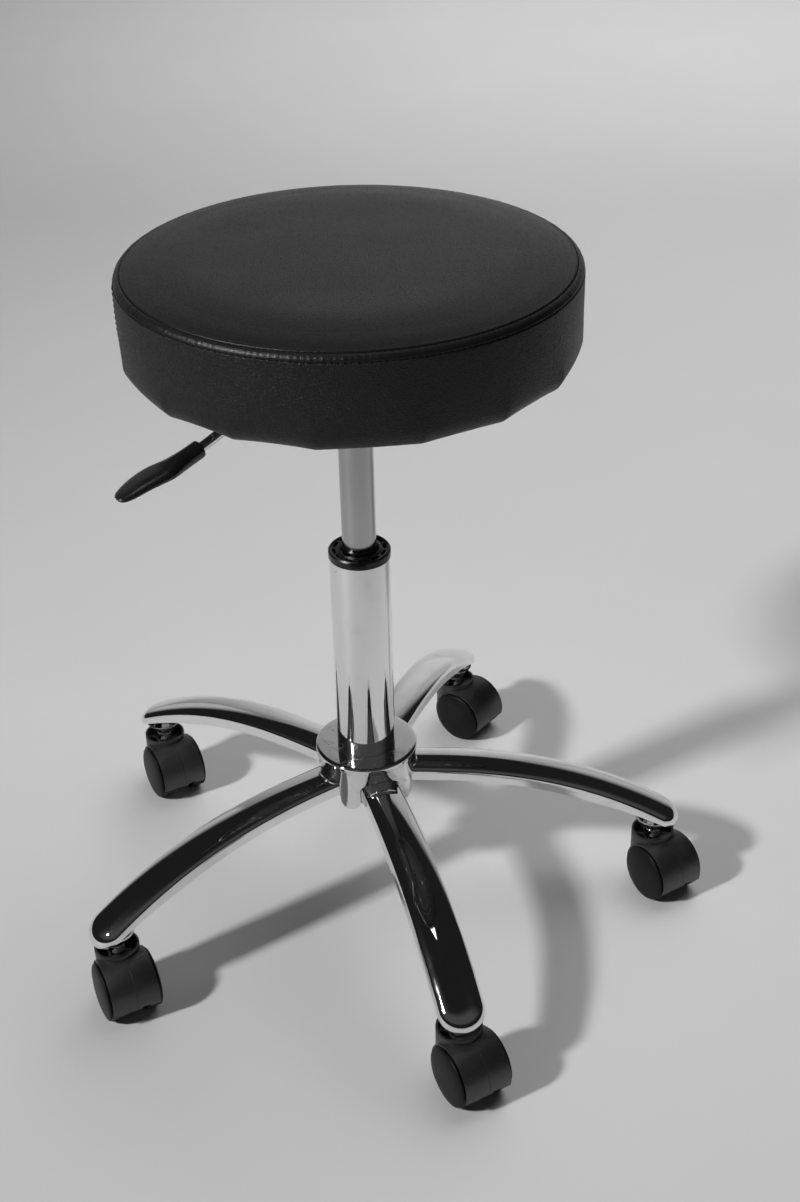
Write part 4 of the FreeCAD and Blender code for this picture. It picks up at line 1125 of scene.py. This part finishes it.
# %% Dust cloth and staples
def add_dust_cloth():
    """A closed disc: the lower face is low + ripple(angle, radius), the upper face is flat."""
    low = SEAT_UNDER + 0.75
    r = np.concatenate([[0], np.linspace(6, CLOTH_R - 2, 24), [CLOTH_R - 1.7, CLOTH_R - 1.7]])[:, None]
    a = np.linspace(0, 2 * np.pi, 144, endpoint=False)[None]
    fade = smoothstep(0, 30, CLOTH_R - r)
    ripple = 0.16 * fade * (np.sin(5 * a + r * 0.11) + np.sin(11 * a - r * 0.17) * 0.5)
    z = low + ripple + 0 * r
    z[-1] = low + 0.4
    lower = np.stack([r * np.cos(a), r * np.sin(a), z], -1)
    upper = np.stack([0 * a, 0 * a, low + 0.4 + 0 * a], -1)
    points = np.concatenate([lower, upper])
    cloth = mesh_piece("dust_cover", points, grid_faces(len(points), 144, wrap_columns=True), FLEECE)
    carry(cloth, "seat", "dust_cloth", "dust_cloth")


def add_staples():
    """A wire of square section whose line is flat in the middle and turns up at both ends."""
    count, radius, half = 36, 134.5, 5.0
    t = np.linspace(-1, 1, 15)
    along = half * np.sin(np.clip(t * 1.25, -1, 1) * np.pi / 2)
    height = SEAT_UNDER - 0.55 + 1.6 * smoothstep(0.78, 1.0, np.abs(t))
    around = (np.arange(6) + 0.5) * np.pi / 3
    wire = np.stack([radius + 0.6 * np.cos(around)[None] + 0 * t[:, None],
                     along[:, None] * (1 - 0.02 * np.sin(around)[None]),
                     height[:, None] + 0.5 * np.sin(around)[None]], -1)
    ends = np.repeat(wire[[0, -1]].mean(1, keepdims=True), 6, 1)
    wire = np.concatenate([ends[:1], wire, ends[1:]])
    points = np.stack([spin(wire, k * 360 / count + 3 * np.sin(k * 2.3)) for k in range(count)])
    one = grid_faces(len(wire), 6, wrap_columns=True)
    faces = one[None] + (np.arange(count) * wire.shape[0] * 6)[:, None, None]
    piece = mesh_piece("hem_staples", points, faces.reshape(-1, 4), STEEL, 70)
    carry(piece, "seat", "bare_steel", "cover_staples")


add_dust_cloth()
add_staples()

# %% [markdown]
# ## Inner parts kept as they are
# The parts inside the column, the caster axles and the board keep their CAD meshes. Each still
# gets a real finish, because a cut-open view or a lifted part would show it.

# %% Finishes for the kept nodes
KEPT = {
    "hub_socket": STEEL, "guide_bush": PALE_PLASTIC, "bearing_lower_race": STEEL, "bearing_balls": CHROME,
    "bearing_upper_race": STEEL, "rod_clip": STEEL, "piston": PALE_PLASTIC, "valve_pin": STEEL,
    "tee_nuts": ZINC, "seat_board": PLYWOOD,
    **{f"caster_{k + 1}_axle": STEEL for k in range(ARM_COUNT)},
}
for name, finish in KEPT.items():
    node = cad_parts[name]
    for place_in_list in node.material_slots:
        place_in_list.material = finish
print("kept nodes", len(KEPT), "without slots",
      [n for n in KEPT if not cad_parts[n].material_slots])

# %% [markdown]
# ## Floor, backdrop and light
# The stool stands on a pale seamless sweep: a floor that curves up into a wall far behind. One lamp
# over the viewer's left shoulder casts the shadows to the right. A broad fill from above lifts them
# and is kept out of the reflections, because chrome looks like chrome only when it has something
# dark to mirror next to something bright.

# %% Sweep, lamps and surroundings
def sweep_finish():
    f = Finish("sweep_paper", Specular_IOR_Level=0.25)
    mottle = f.noise(3.0, 4)
    specks = f.cells(30).above(0.035, 0.012) * f.noise(2.5, 2).above(0.52, 0.70)
    colour = f.blend(specks * 0.4, f.blend(mottle, grey(0.60), grey(0.64)), grey(0.30))
    return f.set(Base_Color=colour, Roughness=mottle * 0.1 + 0.55, Normal=f.bump(f.noise(500, 2), 0.02))


def add_sweep():
    """Floor line, quarter circle and wall, carried across the width."""
    front, back, radius, top, half = -2.6, 3.4, 1.6, 4.15, 2.2
    bend = np.linspace(0, np.pi / 2, 24)
    line = np.vstack([np.stack([np.linspace(front, back, 20), np.zeros(20)], -1),
                      np.stack([back + radius * np.sin(bend), radius * (1 - np.cos(bend))], -1)[1:],
                      [[back + radius, top]]])
    x = np.linspace(-half, half, 12)
    along, height = line[:, :1], line[:, 1:]
    points = np.stack([x[None] + 0 * along, along + 0 * x[None], height + 0 * x[None]], -1) / MM
    sweep = mesh_piece("sweep", points, grid_faces(*points.shape[:2]), sweep_finish(), 60, upward=True)


def add_lamp(name, place_at, aim, width, height, watts, mirrored=True, spread=180):
    data = bpy.data.lights.new(name, "AREA")
    data.shape, data.size, data.size_y, data.energy = "RECTANGLE", width, height, watts
    data.spread = math.radians(spread)
    lamp = bpy.data.objects.new(name, data)
    lamp.location = place_at
    lamp.rotation_euler = (Vector(aim) - Vector(place_at)).to_track_quat("-Z", "Y").to_euler()
    lamp.visible_glossy = mirrored
    bpy.context.scene.collection.objects.link(lamp)


def surroundings():
    """A dim room, with a pale wall low beyond the stool and a faint glow on the walls beside it."""
    world = bpy.data.worlds.new("studio")
    world.use_nodes = True
    bpy.context.scene.world = world
    tree = world.node_tree
    direction = tree.nodes.new("ShaderNodeTexCoord")
    split = tree.nodes.new("ShaderNodeSeparateXYZ")
    tree.links.new(direction.outputs["Generated"], split.inputs[0])
    away, up = (Wire(tree, split.outputs[axis]) for axis in "YZ")
    far_wall = up.above(0.665, 0.61) * away.above(0.66, 0.84) * 0.42
    near_wall = up.above(0.92, 0.70) * up.above(0.25, 0.45) * away.above(0.1, -0.5) * 0.05
    join(tree, far_wall + near_wall + 0.012, tree.nodes["Background"].inputs["Strength"])
    tree.nodes["Background"].inputs["Color"].default_value = (1, 1, 1, 1)


add_sweep()
add_lamp("key", (-3.30, -2.16, 3.24), (0.08, 0.05, 0.12), 0.40, 0.40, 21, spread=60)
add_lamp("fill", (1.2, 1.0, 3.0), (0.5, 0.5, 0.0), 2.4, 2.4, 41, mirrored=False)
add_lamp("top strip", (0.1, 0.35, 3.2), (0.0, 0.0, 0.3), 0.5, 0.9, 4)
add_lamp("wall wash", (0.5, 2.2, 2.6), (0.5, 5.0, 2.2), 3.4, 1.2, 68, mirrored=False)
add_lamp("floor wash", (0.8, 2.8, 2.2), (0.7, 2.8, 0.0), 2.4, 2.0, 22, mirrored=False)
surroundings()
bpy.context.scene.view_settings.view_transform = "Standard"

# %% [markdown]
# ## Last update
# The view layer is brought up to date after the last piece.

# %% Finish
bpy.context.view_layer.update()
